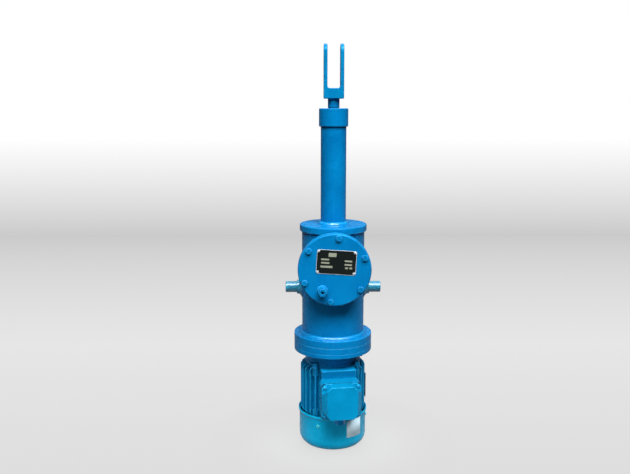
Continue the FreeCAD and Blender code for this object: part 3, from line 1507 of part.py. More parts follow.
def make_pump():
    shaft_bore = d.pump_shaft_radius + d.running_gap
    front = pump_section("pump_front_cover", z_bracket_top, z_gear_low)
    pocket(
        front,
        circles(front, "XY_Plane", shaft_bore, gear_centres()[:1], offset=z_bracket_top - OVERCUT),
        d.pump_cover_thickness + 2 * OVERCUT,
        forwards=True,
    )
    pocket(
        front,
        circles(front, "XY_Plane", shaft_bore, gear_centres()[1:], offset=z_gear_low),
        d.pump_bearing_depth,
    )
    middle = pump_section("pump_body", z_gear_low, z_gear_top)
    for centre in gear_centres():
        bore = circles(
            middle, "XY_Plane", gear_tip_radius + d.gear_tip_gap, [centre], offset=z_gear_low - OVERCUT,
        )
        pocket(middle, bore, d.gear_width + 2 * OVERCUT, forwards=True)
    port = circles(
        middle,
        "YZ_Plane",
        d.pipe_radius + d.slip_gap,
        [(gear_distance / 2, z_gear_low + d.gear_width / 2)],
    )
    pocket(middle, port, symmetric=True)
    end = pump_section("pump_end_cover", z_gear_top, z_pump_top)
    ends = circles(end, "XY_Plane", shaft_bore, gear_centres(), offset=z_gear_top)
    pocket(end, ends, d.pump_bearing_depth, forwards=True)


def make_pump_bolts():
    mirrored = [(x, -y) for x, y in pump_bolt_places()]
    hex_bolts(
        "pump_bolts",
        mirrored,
        d.pump_bolt_flats,
        d.pump_bolt_head,
        d.pump_bolt_radius,
        z_pump_top - z_plate_top + d.pump_bolt_engagement,
        z=z_pump_top,
        turn=FACING_DOWN,
    )


def make_pump_bracket():
    body = new_body("pump_bracket")
    tube = d.bracket_bore + d.bracket_wall
    revolve(
        body,
        [
            (d.bracket_bore, z_plate_top),
            (d.bracket_foot_radius, z_plate_top),
            (d.bracket_foot_radius, z_plate_top + d.bracket_foot),
            (tube, z_plate_top + d.bracket_foot),
            (tube, z_bracket_top - d.bracket_foot),
            (d.bracket_foot_radius, z_bracket_top - d.bracket_foot),
            (d.bracket_foot_radius, z_bracket_top),
            (d.bracket_bore, z_bracket_top),
        ],
    )
    holes = circles(
        body, "XY_Plane", d.pump_bolt_radius + d.hole_gap, pump_bolt_places(), offset=z_plate_top - OVERCUT
    )
    pocket(body, holes, d.bracket_height + 2 * OVERCUT, forwards=True)
    window = outline(
        body,
        "YZ_Plane",
        rectangle(
            -d.bracket_bore / 2,
            d.bracket_bore / 2,
            z_plate_top + 2 * d.bracket_foot,
            z_bracket_top - 2 * d.bracket_foot,
        ),
    )
    polar(body, [pocket(body, window, tube + OVERCUT, forwards=True)], EAR_COUNT)


def coupling_half(label, bore, z_hub, turn):
    """A coupling hub with its jaws; the jaws lie between the two hubs."""
    body = new_body(label, turn=turn, node=False)
    revolve(body, rectangle(bore, d.coupling_radius, z_hub, z_hub + d.coupling_hub))
    reach = d.hole_gap
    low = z_jaw_low if z_hub.number < z_jaw_low.number else z_jaw_low + reach
    high = z_jaw_top - reach if z_hub.number < z_jaw_low.number else z_jaw_top
    jaw_inner = d.shaft_radius + 2 * d.hole_gap
    jaw = revolve(body, rectangle(jaw_inner, d.coupling_radius, low, high), angle=JAW_ANGLE)
    polar(body, [jaw], JAW_COUNT)
    return body


def make_shaft_coupling():
    lower = coupling_half("coupling_lower_hub", d.shaft_radius + d.slip_gap, z_coupling_low, FACING_UP)
    half_turn = FreeCAD.Rotation(Z_AXIS, 180 / JAW_COUNT)
    upper = coupling_half("coupling_upper_hub", d.pump_shaft_radius + d.slip_gap, z_jaw_top, half_turn)
    quarter = FreeCAD.Rotation(Z_AXIS, 90 / JAW_COUNT)
    spider = new_body("coupling_spider", turn=quarter, node=False)
    inner = d.shaft_radius + d.hole_gap
    ring = inner + d.hole_gap - d.slip_gap
    low, high = z_jaw_low + d.slip_gap, z_jaw_top - d.slip_gap
    revolve(spider, rectangle(inner, ring, low, high))
    leg = revolve(spider, rectangle(inner, d.coupling_radius - d.hole_gap, low, high), angle=SPIDER_LEG_ANGLE)
    polar(spider, [leg], 2 * JAW_COUNT)
    new_group("shaft_coupling", [lower, upper, spider])


def involute_flank(base_radius, start_radius, end_radius, thickness_angle):
    """Points along one flank; thickness_angle is half the tooth's angle at the base circle."""
    points = []
    for step in range(INVOLUTE_POINTS):
        radius = start_radius + (end_radius - start_radius) * step / (INVOLUTE_POINTS - 1)
        roll = math.sqrt(max((radius / base_radius) ** 2 - 1, 0))
        angle = thickness_angle - (roll - math.atan(roll))
        points.append(FreeCAD.Vector(radius * math.cos(angle), radius * math.sin(angle), 0))
    return points


def gear_face():
    """An involute gear outline with a tooth centred on +X."""
    pitch, tip = gear_pitch_radius.number, gear_tip_radius.number
    root_radius = gear_root_radius.number
    pressure = math.radians(GEAR_PRESSURE_ANGLE)
    base = pitch * math.cos(pressure)
    half_tooth = math.pi / (2 * GEAR_TEETH) - d.gear_backlash.number / (2 * pitch)
    at_base = half_tooth + math.tan(pressure) - pressure
    upper = involute_flank(base, base, tip, at_base)
    lower = [FreeCAD.Vector(point.x, -point.y, 0) for point in reversed(upper)]
    root_point = FreeCAD.Vector(root_radius * math.cos(at_base), root_radius * math.sin(at_base), 0)
    foot = FreeCAD.Vector(root_point.x, -root_point.y, 0)
    pitch_angle = 2 * math.pi / GEAR_TEETH
    flank_up, flank_down = Part.BSplineCurve(), Part.BSplineCurve()
    flank_up.interpolate(lower[::-1])
    flank_down.interpolate(upper[::-1])
    turn = FreeCAD.Rotation(Z_AXIS, math.degrees(pitch_angle))
    half_turn = FreeCAD.Rotation(Z_AXIS, math.degrees(pitch_angle) / 2)
    bottom = half_turn.multVec(FreeCAD.Vector(root_radius, 0, 0))
    tooth = [
        Part.LineSegment(foot, lower[-1]).toShape(),
        flank_up.toShape(),
        Part.Arc(lower[0], FreeCAD.Vector(tip, 0, 0), upper[-1]).toShape(),
        flank_down.toShape(),
        Part.LineSegment(upper[0], root_point).toShape(),
        Part.Arc(root_point, bottom, turn.multVec(foot)).toShape(),
    ]
    edges = []
    for index in range(GEAR_TEETH):
        for edge in tooth:
            turned = edge.copy()
            turned.rotate(FreeCAD.Vector(), Z_AXIS, index * math.degrees(pitch_angle))
            edges.append(turned)
    return Part.Face(Part.Wire(Part.__sortEdges__(edges)))


def make_pump_gear(label, y, shaft_low, turn):
    """A gear on its shaft, turned into mesh and set on its own axis."""
    low = z_gear_low + d.gear_side_gap
    width = d.gear_width - 2 * d.gear_side_gap
    wheel = gear_face().extrude(Z_AXIS * width.number)
    wheel.rotate(FreeCAD.Vector(), Z_AXIS, turn)
    wheel.translate(Z_AXIS * low.number)
    shaft_top = z_gear_top + d.pump_bearing_depth - d.shaft_end_gap
    height = (shaft_top - shaft_low).number
    shaft = Part.makeCylinder(d.pump_shaft_radius.number, height, Z_AXIS * shaft_low.number)
    made = doc.addObject("Part::Feature", label)
    made.Label = label
    made.Shape = wheel.fuse(shaft).removeSplitter()
    made.Placement = FreeCAD.Placement(FreeCAD.Vector(0, as_size(y).number, 0), FACING_UP)
    nodes.append(made)


def make_pump_gears():
    drive_low = z_jaw_top + d.hole_gap
    make_pump_gear("pump_drive_gear", 0, drive_low, 0)
    driven_low = z_gear_low - d.pump_bearing_depth + d.shaft_end_gap
    make_pump_gear("pump_driven_gear", gear_distance, driven_low, 180 / GEAR_TEETH)


# Valve block and pipes
def block_bolt_places():
    return corners_of(d.block_width, d.block_depth, d.block_bolt_inset)


def pipe_levels():
    """The heights where a pipe leaves the pump and enters the valve block."""
    return z_gear_low + d.gear_width / 2, z_block_low + d.pipe_entry


def make_valve_block():
    body = new_body("valve_block")
    shape = middle_rectangle(d.block_width, d.block_depth)
    pad(body, outline(body, "XY_Plane", shape, offset=z_block_low), d.block_height)
    holes = circles(
        body, "XY_Plane", d.block_bolt_radius + d.hole_gap, block_bolt_places(), offset=z_block_low - OVERCUT
    )
    pocket(body, holes, d.block_height + 2 * OVERCUT, forwards=True)
    passage = circles(body, "XY_Plane", d.port_radius, [(0, 0)], offset=z_base_low)
    pocket(body, passage, d.block_height / 2)
    seats = circles(
        body,
        "XZ_Plane",
        d.relief_radius + d.slip_gap,
        relief_places(),
        offset=d.block_depth / 2 - d.relief_depth,
    )
    pocket(body, seats, d.block_depth, forwards=True)
    socket = circles(
        body,
        "YZ_Plane",
        d.pipe_radius + d.slip_gap,
        [(gear_distance / 2, pipe_levels()[1])],
    )
    pocket(body, socket, symmetric=True)


def relief_places():
    level = z_block_low + d.relief_height
    return [(-d.relief_spacing / 2, level), (d.relief_spacing / 2, level)]


def make_relief_valves():
    body = new_body("relief_valves")
    face = d.block_depth / 2
    inner = face - d.relief_depth + d.hole_gap
    cartridges = circles(body, "XZ_Plane", d.relief_radius, relief_places(), offset=inner)
    pad(body, cartridges, face - inner)
    heads = [hexagon(d.relief_flats, *place) for place in relief_places()]
    pad(body, outline(body, "XZ_Plane", *heads, offset=face), d.relief_head)
    stems = circles(body, "XZ_Plane", d.relief_stem_radius, relief_places(), offset=face + d.relief_head)
    pad(body, stems, d.relief_stem)


def make_block_bolts():
    length = d.block_height + d.base_height + d.block_bolt_engagement
    hex_bolts(
        "block_bolts",
        block_bolt_places(),
        d.block_bolt_flats,
        d.block_bolt_head,
        d.block_bolt_radius,
        length,
        z=z_block_low,
    )


def make_oil_pipes():
    """Two bent pipes, one on each side, from the pump's ports to the valve block."""
    low, high = pipe_levels()
    away = d.block_width / 2 + d.pipe_standoff + d.pipe_bend
    start = pump_half_width - d.pipe_socket
    end = d.block_width / 2 - d.pipe_socket
    body = new_body("oil_pipes", y=gear_distance / 2)
    route = new_sketch(body, "XZ_Plane", 0)
    draw_loop(
        route,
        [(start, low), (away, low, d.pipe_bend), (away, high, d.pipe_bend), (end, high)],
        closed=False,
    )
    section = circles(body, "YZ_Plane", d.pipe_radius, [(0, low)], offset=start)
    hole = circles(body, "YZ_Plane", d.pipe_radius - d.pipe_wall, [(0, low)], offset=start)
    pipe = feature(body, "AdditivePipe", section)
    pipe.Spine = route
    bore = feature(body, "SubtractivePipe", hole)
    bore.Spine = route
    twin = body.newObject("PartDesign::Mirrored", "oil_pipes_mirror")
    twin.Originals = [pipe, bore]
    twin.MirrorPlane = (origin_feature(body, "YZ_Plane"), [""])
    body.Tip = twin


# Cylinder
def make_cylinder_base():
    body = new_body("cylinder_base")
    seat = barrel_radius + d.slip_gap
    groove_outer = barrel_radius + d.groove_width
    z_groove = z_shell_top - d.groove_depth
    revolve(
        body,
        [
            (0, z_base_low),
            (d.base_radius, z_base_low),
            (d.base_radius, z_shell_top),
            (groove_outer, z_shell_top),
            (groove_outer, z_groove),
            (seat, z_groove),
            (seat, z_barrel_low),
            (0, z_barrel_low),
        ],
    )
    holes = circles(
        body, "XY_Plane", d.block_bolt_radius + d.hole_gap, block_bolt_places(), offset=z_base_low - OVERCUT
    )
    pocket(body, holes, d.base_height + 2 * OVERCUT, forwards=True)
    port = circles(body, "XY_Plane", d.port_radius, [(0, 0)], offset=z_base_low - OVERCUT)
    pocket(body, port, d.base_floor + 2 * OVERCUT, forwards=True)


def make_outer_tube():
    body = new_body("outer_tube")
    revolve(body, rectangle(tube_inner, d.tube_radius, z_shell_top, z_tube_top))


def make_cylinder_barrel():
    body = new_body("cylinder_barrel")
    revolve(body, rectangle(d.barrel_bore_radius, barrel_radius, z_barrel_low, z_barrel_top))
    z_port = z_bush_low - d.barrel_port_drop
    ports = circles(body, "YZ_Plane", d.barrel_port_radius, [(0, z_port)])
    polar(body, [pocket(body, ports, barrel_radius + OVERCUT, forwards=True)], EAR_COUNT)


def make_gland_cap():
    body = new_body("gland_cap")
    thread = d.tube_radius + d.slip_gap
    rod_hole = d.rod_radius + d.hole_gap
    wiper = d.rod_radius + d.seal_lip + d.slip_gap
    edge = d.cap_chamfer
    revolve(
        body,
        [
            (thread, z_cap_low),
            (d.cap_radius - edge, z_cap_low),
            (d.cap_radius, z_cap_low + edge),
            (d.cap_radius, z_cap_top - edge),
            (d.cap_radius - edge, z_cap_top),
            (wiper, z_cap_top),
            (wiper, z_cap_top - d.wiper_length),
            (rod_hole, z_cap_top - d.wiper_length),
            (rod_hole, z_roof),
            (thread, z_roof),
        ],
    )


def seal_groove_levels():
    low = z_tube_top - 2 * d.seal_length
    return low, low + d.seal_length


def make_guide_bush():
    body = new_body("guide_bush")
    bore = d.rod_radius + d.running_gap
    groove_radius = d.rod_radius + d.seal_lip + d.slip_gap
    low, high = seal_groove_levels()
    revolve(
        body,
        [
            (bore, z_bush_low),
            (d.barrel_bore_radius - d.slip_gap, z_bush_low),
            (d.barrel_bore_radius - d.slip_gap, z_barrel_top),
            (tube_inner - d.slip_gap, z_barrel_top),
            (tube_inner - d.slip_gap, z_tube_top),
            (d.tube_radius - d.slip_gap, z_tube_top),
            (d.tube_radius - d.slip_gap, z_roof),
            (bore, z_roof),
            (bore, high),
            (groove_radius, high),
            (groove_radius, low),
            (bore, low),
        ],
    )


def make_gland_seals():
    """The rod seal in the guide bush and the wiper ring in the cap."""
    body = new_body("gland_seals")
    lip = d.rod_radius + d.running_gap
    outer = d.rod_radius + d.seal_lip
    low, high = seal_groove_levels()
    wiper_low = z_cap_top - d.wiper_length
    revolve(
        body,
        rectangle(lip, outer, low + d.slip_gap, high - d.slip_gap),
        [
            (lip, wiper_low),
            (outer, wiper_low),
            (outer, z_cap_top),
            (lip + d.seal_lip / 2, z_cap_top),
            (lip, z_cap_top + d.hole_gap),
        ],
    )


# Push rod and fork
def make_piston_rod():
    body = new_body("piston_rod")
    revolve(
        body,
        [
            (0, z_nut_low),
            (d.rod_tail_radius, z_nut_low),
            (d.rod_tail_radius, z_piston_top),
            (d.rod_radius, z_piston_top),
            (d.rod_radius, z_cap_top + d.hole_gap),
            (d.rod_thread_radius, z_cap_top + d.hole_gap),
            (d.rod_thread_radius, z_cap_top + d.rod_thread_length),
            (0, z_cap_top + d.rod_thread_length),
        ],
    )


def piston_seal_levels():
    """The lower edges of the piston's two seal grooves."""
    step = d.piston_length / 3
    return [z_piston_low + step * place - d.piston_seal_width / 2 for place in (1, 2)]


def make_piston():
    body = new_body("piston")
    outer = d.barrel_bore_radius - 2 * d.running_gap
    bore = d.rod_tail_radius + d.slip_gap
    floor = d.barrel_bore_radius - d.piston_seal_depth
    side = [(outer, z_piston_low)]
    for low in piston_seal_levels():
        high = low + d.piston_seal_width
        side += [(outer, low), (floor, low), (floor, high), (outer, high)]
    side.append((outer, z_piston_top))
    revolve(body, [(bore, z_piston_low), *side, (bore, z_piston_top)])


def make_piston_seals():
    body = new_body("piston_seals")
    inner = d.barrel_bore_radius - d.piston_seal_depth + d.running_gap
    outer = d.barrel_bore_radius - d.running_gap
    gap = d.running_gap
    rings = [
        rectangle(inner, outer, low + gap, low + d.piston_seal_width - gap) for low in piston_seal_levels()
    ]
    revolve(body, *rings)


def make_piston_nut():
    body = new_body("piston_nut")
    pad(
        body,
        outline(body, "XY_Plane", hexagon(d.piston_nut_flats), offset=z_nut_low),
        d.piston_nut_height,
    )
    bore = circles(body, "XY_Plane", d.rod_tail_radius + d.slip_gap, [(0, 0)], offset=z_nut_low - OVERCUT)
    pocket(body, bore, d.piston_nut_height + 2 * OVERCUT, forwards=True)


def make_fork():
    body = new_body("fork")
    half, slot = d.fork_width / 2, d.fork_slot / 2
    front = outline(
        body,
        "XZ_Plane",
        [
            (-half, z_fork_low),
            (half, z_fork_low),
            (half, z_fork_top),
            (slot, z_fork_top),
            (slot, z_slot, d.fork_corner),
            (-slot, z_slot, d.fork_corner),
            (-slot, z_fork_top),
            (-half, z_fork_top),
        ],
    )
    pad(body, front, d.fork_depth, symmetric=True)
    round_tine_ends(body)
    neck_low = z_cap_top + d.hole_gap + d.slip_gap
    neck = circles(body, "XY_Plane", d.neck_radius, [(0, 0)], offset=neck_low)
    pad(body, neck, z_fork_low - neck_low)
    thread = circles(body, "XY_Plane", d.rod_thread_radius + d.slip_gap, [(0, 0)], offset=neck_low)
    pocket(body, thread, d.rod_thread_length + d.hole_gap, forwards=True)
    pin = circles(body, "YZ_Plane", d.fork_pin_radius, [(0, z_fork_top - d.fork_depth / 2)])
    pocket(body, pin, symmetric=True)


def round_tine_ends(body):
    """Cuts the square tine ends, seen from the side, to full rounds about the pin hole."""
    half = d.fork_depth / 2
    reach = half + OVERCUT
    z_pin, z_clear = z_fork_top - half, z_fork_top + OVERCUT
    waste = new_sketch(body, "YZ_Plane", 0)
    draw_loop(
        waste,
        [(half, z_pin), (reach, z_pin), (reach, z_clear), (-reach, z_clear), (-reach, z_pin), (-half, z_pin)],
        closed=False,
    )
    last_side = waste.GeometryCount - 1
    circle = Part.Circle(vector((0, z_pin)), Z_AXIS, half.number)
    arc = waste.addGeometry(Part.ArcOfCircle(circle, 0, math.pi), False)
    centre_height = Sketcher.Constraint("DistanceY", -1, 1, arc, 3, z_pin.number)
    hold(
        waste,
        [
            (Sketcher.Constraint("Coincident", arc, 1, 0, 1), None),
            (Sketcher.Constraint("Coincident", arc, 2, last_side, 2), None),
            (centre_height, z_pin.formula),
        ],
    )
    pocket(body, waste, symmetric=True)


def make_all():
    make_fan_cowl()
    make_cowl_screws()
    make_cooling_fan()
    make_rear_end_shield()
    make_stator_frame()
    make_stator_core()
    make_stator_windings()
    make_flange_end_shield()
    make_shield_bolts()
    make_bearings()
    make_rotor_shaft()
    make_rotor_core()
    make_terminal_box()
    make_terminal_box_gasket()
    make_terminal_box_lid()
    make_terminal_lid_screws()
    make_terminal_board()
    make_cable_gland()
    make_rating_plate()
    make_flange_bolts()
    make_pump_plate()
    make_flange_gasket()
    make_shaft_seal()
    make_reservoir_flange()
    make_reservoir_shell()
    make_top_plate()
    make_trunnion("trunnion_right", FACING_RIGHT)
    make_trunnion("trunnion_left", FACING_LEFT)
    make_inspection_neck()
    make_cover_gasket()
    make_inspection_cover()
    make_cover_bolts()
    make_nameplate()
    make_filler_plug()
    make_pump()
    make_pump_bolts()
    make_pump_bracket()
    make_shaft_coupling()
    make_pump_gears()
    make_valve_block()
    make_relief_valves()
    make_block_bolts()
    make_oil_pipes()
    make_cylinder_base()
    make_outer_tube()
    make_cylinder_barrel()
    make_gland_cap()
    make_guide_bush()
    make_gland_seals()
    make_piston_rod()
    make_piston()
    make_piston_seals()
    make_piston_nut()
    make_fork()
    doc.recompute()


def check_document():
    """Stops if an object failed, a cut removed nothing or a node's shape isn't sound."""
    faults = []
    for item in doc.Objects:
        if "Invalid" in item.State or "Error" in item.State:
            faults.append(f"{item.Label}: {item.State}")
        if item.TypeId in ("PartDesign::Pocket", "PartDesign::Groove"):
            if item.Shape.Volume >= item.BaseFeature.Shape.Volume - 1e-3:
                faults.append(f"{item.Label} cuts nothing")
    for node in nodes:
        shape = node.Shape
        if shape.isNull() or not shape.isValid() or not shape.Solids:
            faults.append(f"{node.Label}: shape is not sound")
    if faults:
        raise RuntimeError("; ".join(faults))


def write_parts():
    os.makedirs("parts", exist_ok=True)
    for node in nodes:
        node.Shape.exportStep(os.path.join("parts", f"{node.Label}.step"))
    print(len(nodes), "nodes")


make_all()
check_document()
write_parts()
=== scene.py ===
# %% [markdown]
# # An electro-hydraulic actuator
# A motor at the foot drives a pump in the round tank above it, the oil lifts a rod in the long tube,
# and the fork at the top pushes a lever. The packed frame already holds every solid in its true
# place, so this notebook only dresses it: rounded edges, welds, screws, plates, paint and light.

# %% Load the frame
import json
import math

import bmesh
import bpy
from mathutils import Matrix, Vector, noise


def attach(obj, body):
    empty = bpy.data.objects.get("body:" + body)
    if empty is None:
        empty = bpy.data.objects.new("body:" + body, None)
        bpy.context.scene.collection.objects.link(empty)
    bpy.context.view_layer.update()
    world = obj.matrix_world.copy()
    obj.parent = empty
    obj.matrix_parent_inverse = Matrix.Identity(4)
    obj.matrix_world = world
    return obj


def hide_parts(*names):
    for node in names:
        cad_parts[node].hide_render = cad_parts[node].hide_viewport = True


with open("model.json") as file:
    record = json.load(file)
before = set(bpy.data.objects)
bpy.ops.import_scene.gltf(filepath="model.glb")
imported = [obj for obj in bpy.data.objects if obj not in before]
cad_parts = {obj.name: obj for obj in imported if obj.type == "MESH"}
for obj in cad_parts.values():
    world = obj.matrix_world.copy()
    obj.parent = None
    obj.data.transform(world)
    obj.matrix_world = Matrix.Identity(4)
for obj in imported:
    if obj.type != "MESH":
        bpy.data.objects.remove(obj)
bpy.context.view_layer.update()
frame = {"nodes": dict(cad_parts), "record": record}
MM = 0.001
scene = bpy.context.scene
scene.view_settings.view_transform = "Standard"

# %% [markdown]
# ## Camera
# The photograph looks down a little on the object from about two metres. The tilt shows in the ovals
# of the round plates, and the distance in how much narrower the foot is than its true size says. The
# axis stands right of the picture's middle, so the camera aims a little past it, with no lens shift.

# %% Camera
PICTURE_WIDTH = 630
FOCAL_PIXELS = 750
SENSOR_WIDTH = 36
CAMERA_DISTANCE = 1.889
CAMERA_HEIGHT = 0.875
CAMERA_LEFT = math.radians(2.2)
CAMERA_TILT = math.radians(9.83)
AIM_PAST_AXIS = math.radians(1.405)

lens = bpy.data.cameras.new("camera")
lens.sensor_width = SENSOR_WIDTH
lens.lens = SENSOR_WIDTH * FOCAL_PIXELS / PICTURE_WIDTH
camera = bpy.data.objects.new("camera", lens)
camera.location = (
    -CAMERA_DISTANCE * math.sin(CAMERA_LEFT),
    -CAMERA_DISTANCE * math.cos(CAMERA_LEFT),
    CAMERA_HEIGHT,
)
camera.rotation_euler = (math.pi / 2 - CAMERA_TILT, 0, AIM_PAST_AXIS - CAMERA_LEFT)
scene.collection.objects.link(camera)
scene.camera = camera
print(f"lens {lens.lens:.1f} mm, {CAMERA_DISTANCE} m away, {CAMERA_HEIGHT} m up")

# %% [markdown]
# ## Colours
# The eye reads a picture in screen colours from 0 to 255, while shaders reckon in linear light. One small
# function turns the first into the second, so every finish below is written in colours as they look.

# %% Colours
def colour(red, green, blue):
    """A screen colour, 0 to 255, as the linear colour that shaders use."""
    linear = []
    for value in (red / 255, green / 255, blue / 255):
        linear.append(value / 12.92 if value <= 0.04045 else ((value + 0.055) / 1.055) ** 2.4)
    return (*linear, 1)


def lighter(tone, step):
    return colour(*[min(255, value + step) for value in tone])


print("blue on screen 4, 130, 200 is linear", [round(c, 3) for c in colour(4, 130, 200)])

# %% [markdown]
# ## A finish and its nodes
# A finish is a small network of nodes. It could be wired by hand in the shader editor, but with one
# helper per kind of node it is short enough to read here. Every pattern reads Object coordinates, which
# are metres, so a noise of "3 mm" has the same grain on each piece.

# %% A finish and its nodes
class Finish:
    """A material that grows node by node from the piece's own coordinates."""

    RAYS = 6

    def __init__(self, name, **sockets):
        self.material = bpy.data.materials.new(name)
        self.material.use_nodes = True
        self.tree = self.material.node_tree
        self.shader = self.tree.nodes["Principled BSDF"]
        for socket, value in sockets.items():
            self.shader.inputs[socket.replace("_", " ")].default_value = value
        coordinates = self.tree.nodes.new("ShaderNodeTexCoord")
        self.place = coordinates.outputs["Object"]
        self.facing = coordinates.outputs["Normal"]

    def node(self, kind, inputs, **settings):
        made = self.tree.nodes.new(kind)
        for setting, value in settings.items():
            setattr(made, setting, value)
        for socket, value in inputs.items():
            if isinstance(value, bpy.types.NodeSocket):
                self.tree.links.new(value, made.inputs[socket])
            else:
                made.inputs[socket].default_value = value
        return made

    def noise(self, grain_mm, detail=2, stretch=(1, 1, 1)):
        """Cloudy noise from 0 to 1 whose lumps are about grain_mm across."""
        place = self.node("ShaderNodeMapping", {"Vector": self.place, "Scale": stretch})
        inputs = {"Vector": place.outputs["Vector"], "Scale": 1 / (grain_mm * MM), "Detail": detail}
        return self.node("ShaderNodeTexNoise", inputs).outputs["Fac"]

    def range(self, value, low, high, to_low=0.0, to_high=1.0):
        inputs = {"Value": value, "From Min": low, "From Max": high, "To Min": to_low, "To Max": to_high}
        return self.node("ShaderNodeMapRange", inputs).outputs["Result"]

    def math(self, operation, first, second):
        return self.node("ShaderNodeMath", {0: first, 1: second}, operation=operation).outputs[0]

    def mix(self, share, first, second):
        return self.node("ShaderNodeMix", {0: share, 6: first, 7: second}, data_type="RGBA").outputs[2]

    def axis(self, name, vector=None):
        """One part of a vector: of the place on the piece, unless another is given."""
        source = self.place if vector is None else vector
        return self.node("ShaderNodeSeparateXYZ", {0: source}).outputs[name]

    def clouds(self, grain_mm, first, second):
        """Two screen colours that drift into each other in soft clouds."""
        share = self.range(self.noise(grain_mm, 3), 0.3, 0.7)
        return self.mix(share, colour(*first), colour(*second))

    def uneven_height(self, grain_mm, reach_mm):
        """The height on the piece, made to waver by reach_mm either way."""
        wander = self.range(self.noise(grain_mm, 3), 0.3, 0.7, -reach_mm * MM, reach_mm * MM)
        return self.math("ADD", self.axis("Z"), wander)

    def corners(self, reach_mm):
        """1 in tight inner corners, 0 on open faces."""
        hidden = self.node("ShaderNodeAmbientOcclusion", {"Distance": reach_mm * MM}, samples=self.RAYS)
        return self.range(hidden.outputs["AO"], 0.25, 0.75, 1, 0)

    def edges(self, reach_mm):
        """1 along outer edges, 0 on open faces: there the solid is thin, seen from inside."""
        settings = {"samples": self.RAYS, "inside": True, "only_local": True}
        thin = self.node("ShaderNodeAmbientOcclusion", {"Distance": reach_mm * MM}, **settings)
        return self.range(thin.outputs["AO"], 0.6, 0.95, 1, 0)

    def bump(self, height, depth_mm, below=None):
        inputs = {"Height": height, "Distance": depth_mm * MM, "Strength": 1.0}
        if below is not None:
            inputs["Normal"] = below
        return self.node("ShaderNodeBump", inputs).outputs["Normal"]

    def give(self, socket, value):
        self.tree.links.new(value, self.shader.inputs[socket])


print("a finish can use:", [name for name in vars(Finish) if name.islower() and name[0] != "_"])

# %% [markdown]
# ## Blue enamel
# The whole actuator is sprayed in one glossy sky blue, bolts and plugs too. Sprayed enamel is never
# one flat colour: coats overlap in soft clouds, the skin has an orange peel of about 3 mm, and small nicks
# along the edges show the grey primer. Tight corners are painted darker, as painted shade, and the paint
# is rougher there. The edges are painted paler, partly a thinner coat and partly a painted highlight.
# The motor came from its own spray booth: it is a touch greener and, being cast, rougher under the paint.
# On its castings the faces that look up are painted darker, as painted shade. Its fins take a darker copy
# of its enamel, as painted shade, and at their top a darker band is the flange's painted shadow. Ambient
# Occlusion nodes find the corners and the edges on any piece, so nothing has to be painted by hand.

# %% Blue enamel
PAINT_GLOSS = {"Specular_IOR_Level": 0.3, "Specular_Tint": (0.2, 0.62, 1, 1)}
TANK_DEEP, TANK_FRESH = (0, 109, 171), (2, 125, 188)
# The first three are tones of painted shade: in corners, on ledges, and the flange's painted shadow on the
# fins. Primer is the real undercoat.
CORNER_SHADE, LEDGE_SHADE, FLANGE_SHADOW, PRIMER = (3, 38, 62), (6, 66, 96), (2, 62, 108), (112, 130, 138)
STREAK_STEP, THIN_COAT_AND_HIGHLIGHT_STEP = 14, 44


def enamel(name, deep, fresh, peel_mm, peel_depth, edge_mm=2.4, corner_shade_share=1.0, ledge_shade_share=0.0, shadow_above=None):
    paint = Finish(name, **PAINT_GLOSS)
    tone = paint.clouds(60, deep, fresh)
    streaks = paint.range(paint.noise(9, 2, (1, 1, 0.12)), 0.58, 0.8, 0, 0.22)
    tone = paint.mix(streaks, tone, lighter(fresh, STREAK_STEP))
    # Tight corners are painted darker: painted shade. The paint is also made rougher there.
    patches = paint.range(paint.noise(7, 4), 0.25, 0.65, 0.35 * corner_shade_share, 0.85 * corner_shade_share)
    shaded_corners = paint.math("MULTIPLY", paint.corners(9), patches)
    tone = paint.mix(shaded_corners, tone, colour(*CORNER_SHADE))
    upward = paint.axis("Z", paint.facing)
    # Faces that look up are painted darker: painted shade on the ledges.
    if ledge_shade_share > 0:
        tone = paint.mix(paint.range(upward, 0.4, 0.9, 0, ledge_shade_share), tone, colour(*LEDGE_SHADE))
    # Upright faces near the top of the fins get a darker band: the flange's painted shadow.
    if shadow_above is not None:
        height = paint.uneven_height(8, 2)
        film = paint.range(height, (shadow_above - 3) * MM, (shadow_above + 3) * MM, 0, 0.45)
        film = paint.math("MULTIPLY", film, paint.range(upward, 0.2, 0.6, 1, 0))
        tone = paint.mix(film, tone, colour(*FLANGE_SHADOW))
    # Edges are painted paler: partly a thinner coat, partly a painted highlight.
    edge = paint.edges(edge_mm)
    thin = paint.math("MULTIPLY", edge, paint.range(paint.noise(12, 3), 0.3, 0.6, 0.25, 0.7))
    tone = paint.mix(thin, tone, lighter(fresh, THIN_COAT_AND_HIGHLIGHT_STEP))
    scuffs = paint.math("ADD", paint.noise(2.6, 3), paint.math("MULTIPLY", edge, 0.13))
    nicks = paint.range(scuffs, 0.755, 0.775)
    paint.give("Base Color", paint.mix(nicks, tone, colour(*PRIMER)))
    gloss = paint.range(paint.noise(22, 3), 0.25, 0.75, 0.2, 0.36)
    paint.give("Roughness", paint.math("ADD", gloss, paint.math("MULTIPLY", shaded_corners, 0.3)))
    peel = paint.bump(paint.noise(peel_mm, 1), peel_depth)
    paint.give("Normal", paint.bump(nicks, -0.06, peel))
    return paint.material


tank_blue = enamel("blue_enamel", TANK_DEEP, TANK_FRESH, 3.0, 0.05)
motor_blue = enamel("blue_enamel_on_castings", (0, 130, 180), (2, 145, 197), 2.2, 0.09, ledge_shade_share=0.34)
# The fins take a darker copy of the motor's enamel: painted shade in the fins.
shaded_frame_blue = enamel(
    "blue_enamel_shaded_on_fins", (0, 116, 168), (2, 130, 184), 2.2, 0.09, corner_shade_share=0.4, shadow_above=205,
)
cowl_blue = enamel("blue_enamel_on_sheet", (0, 150, 194), (4, 166, 210), 3.4, 0.04, edge_mm=0.9)
print("enamels:", tank_blue.name, motor_blue.name, shaded_frame_blue.name, cowl_blue.name)

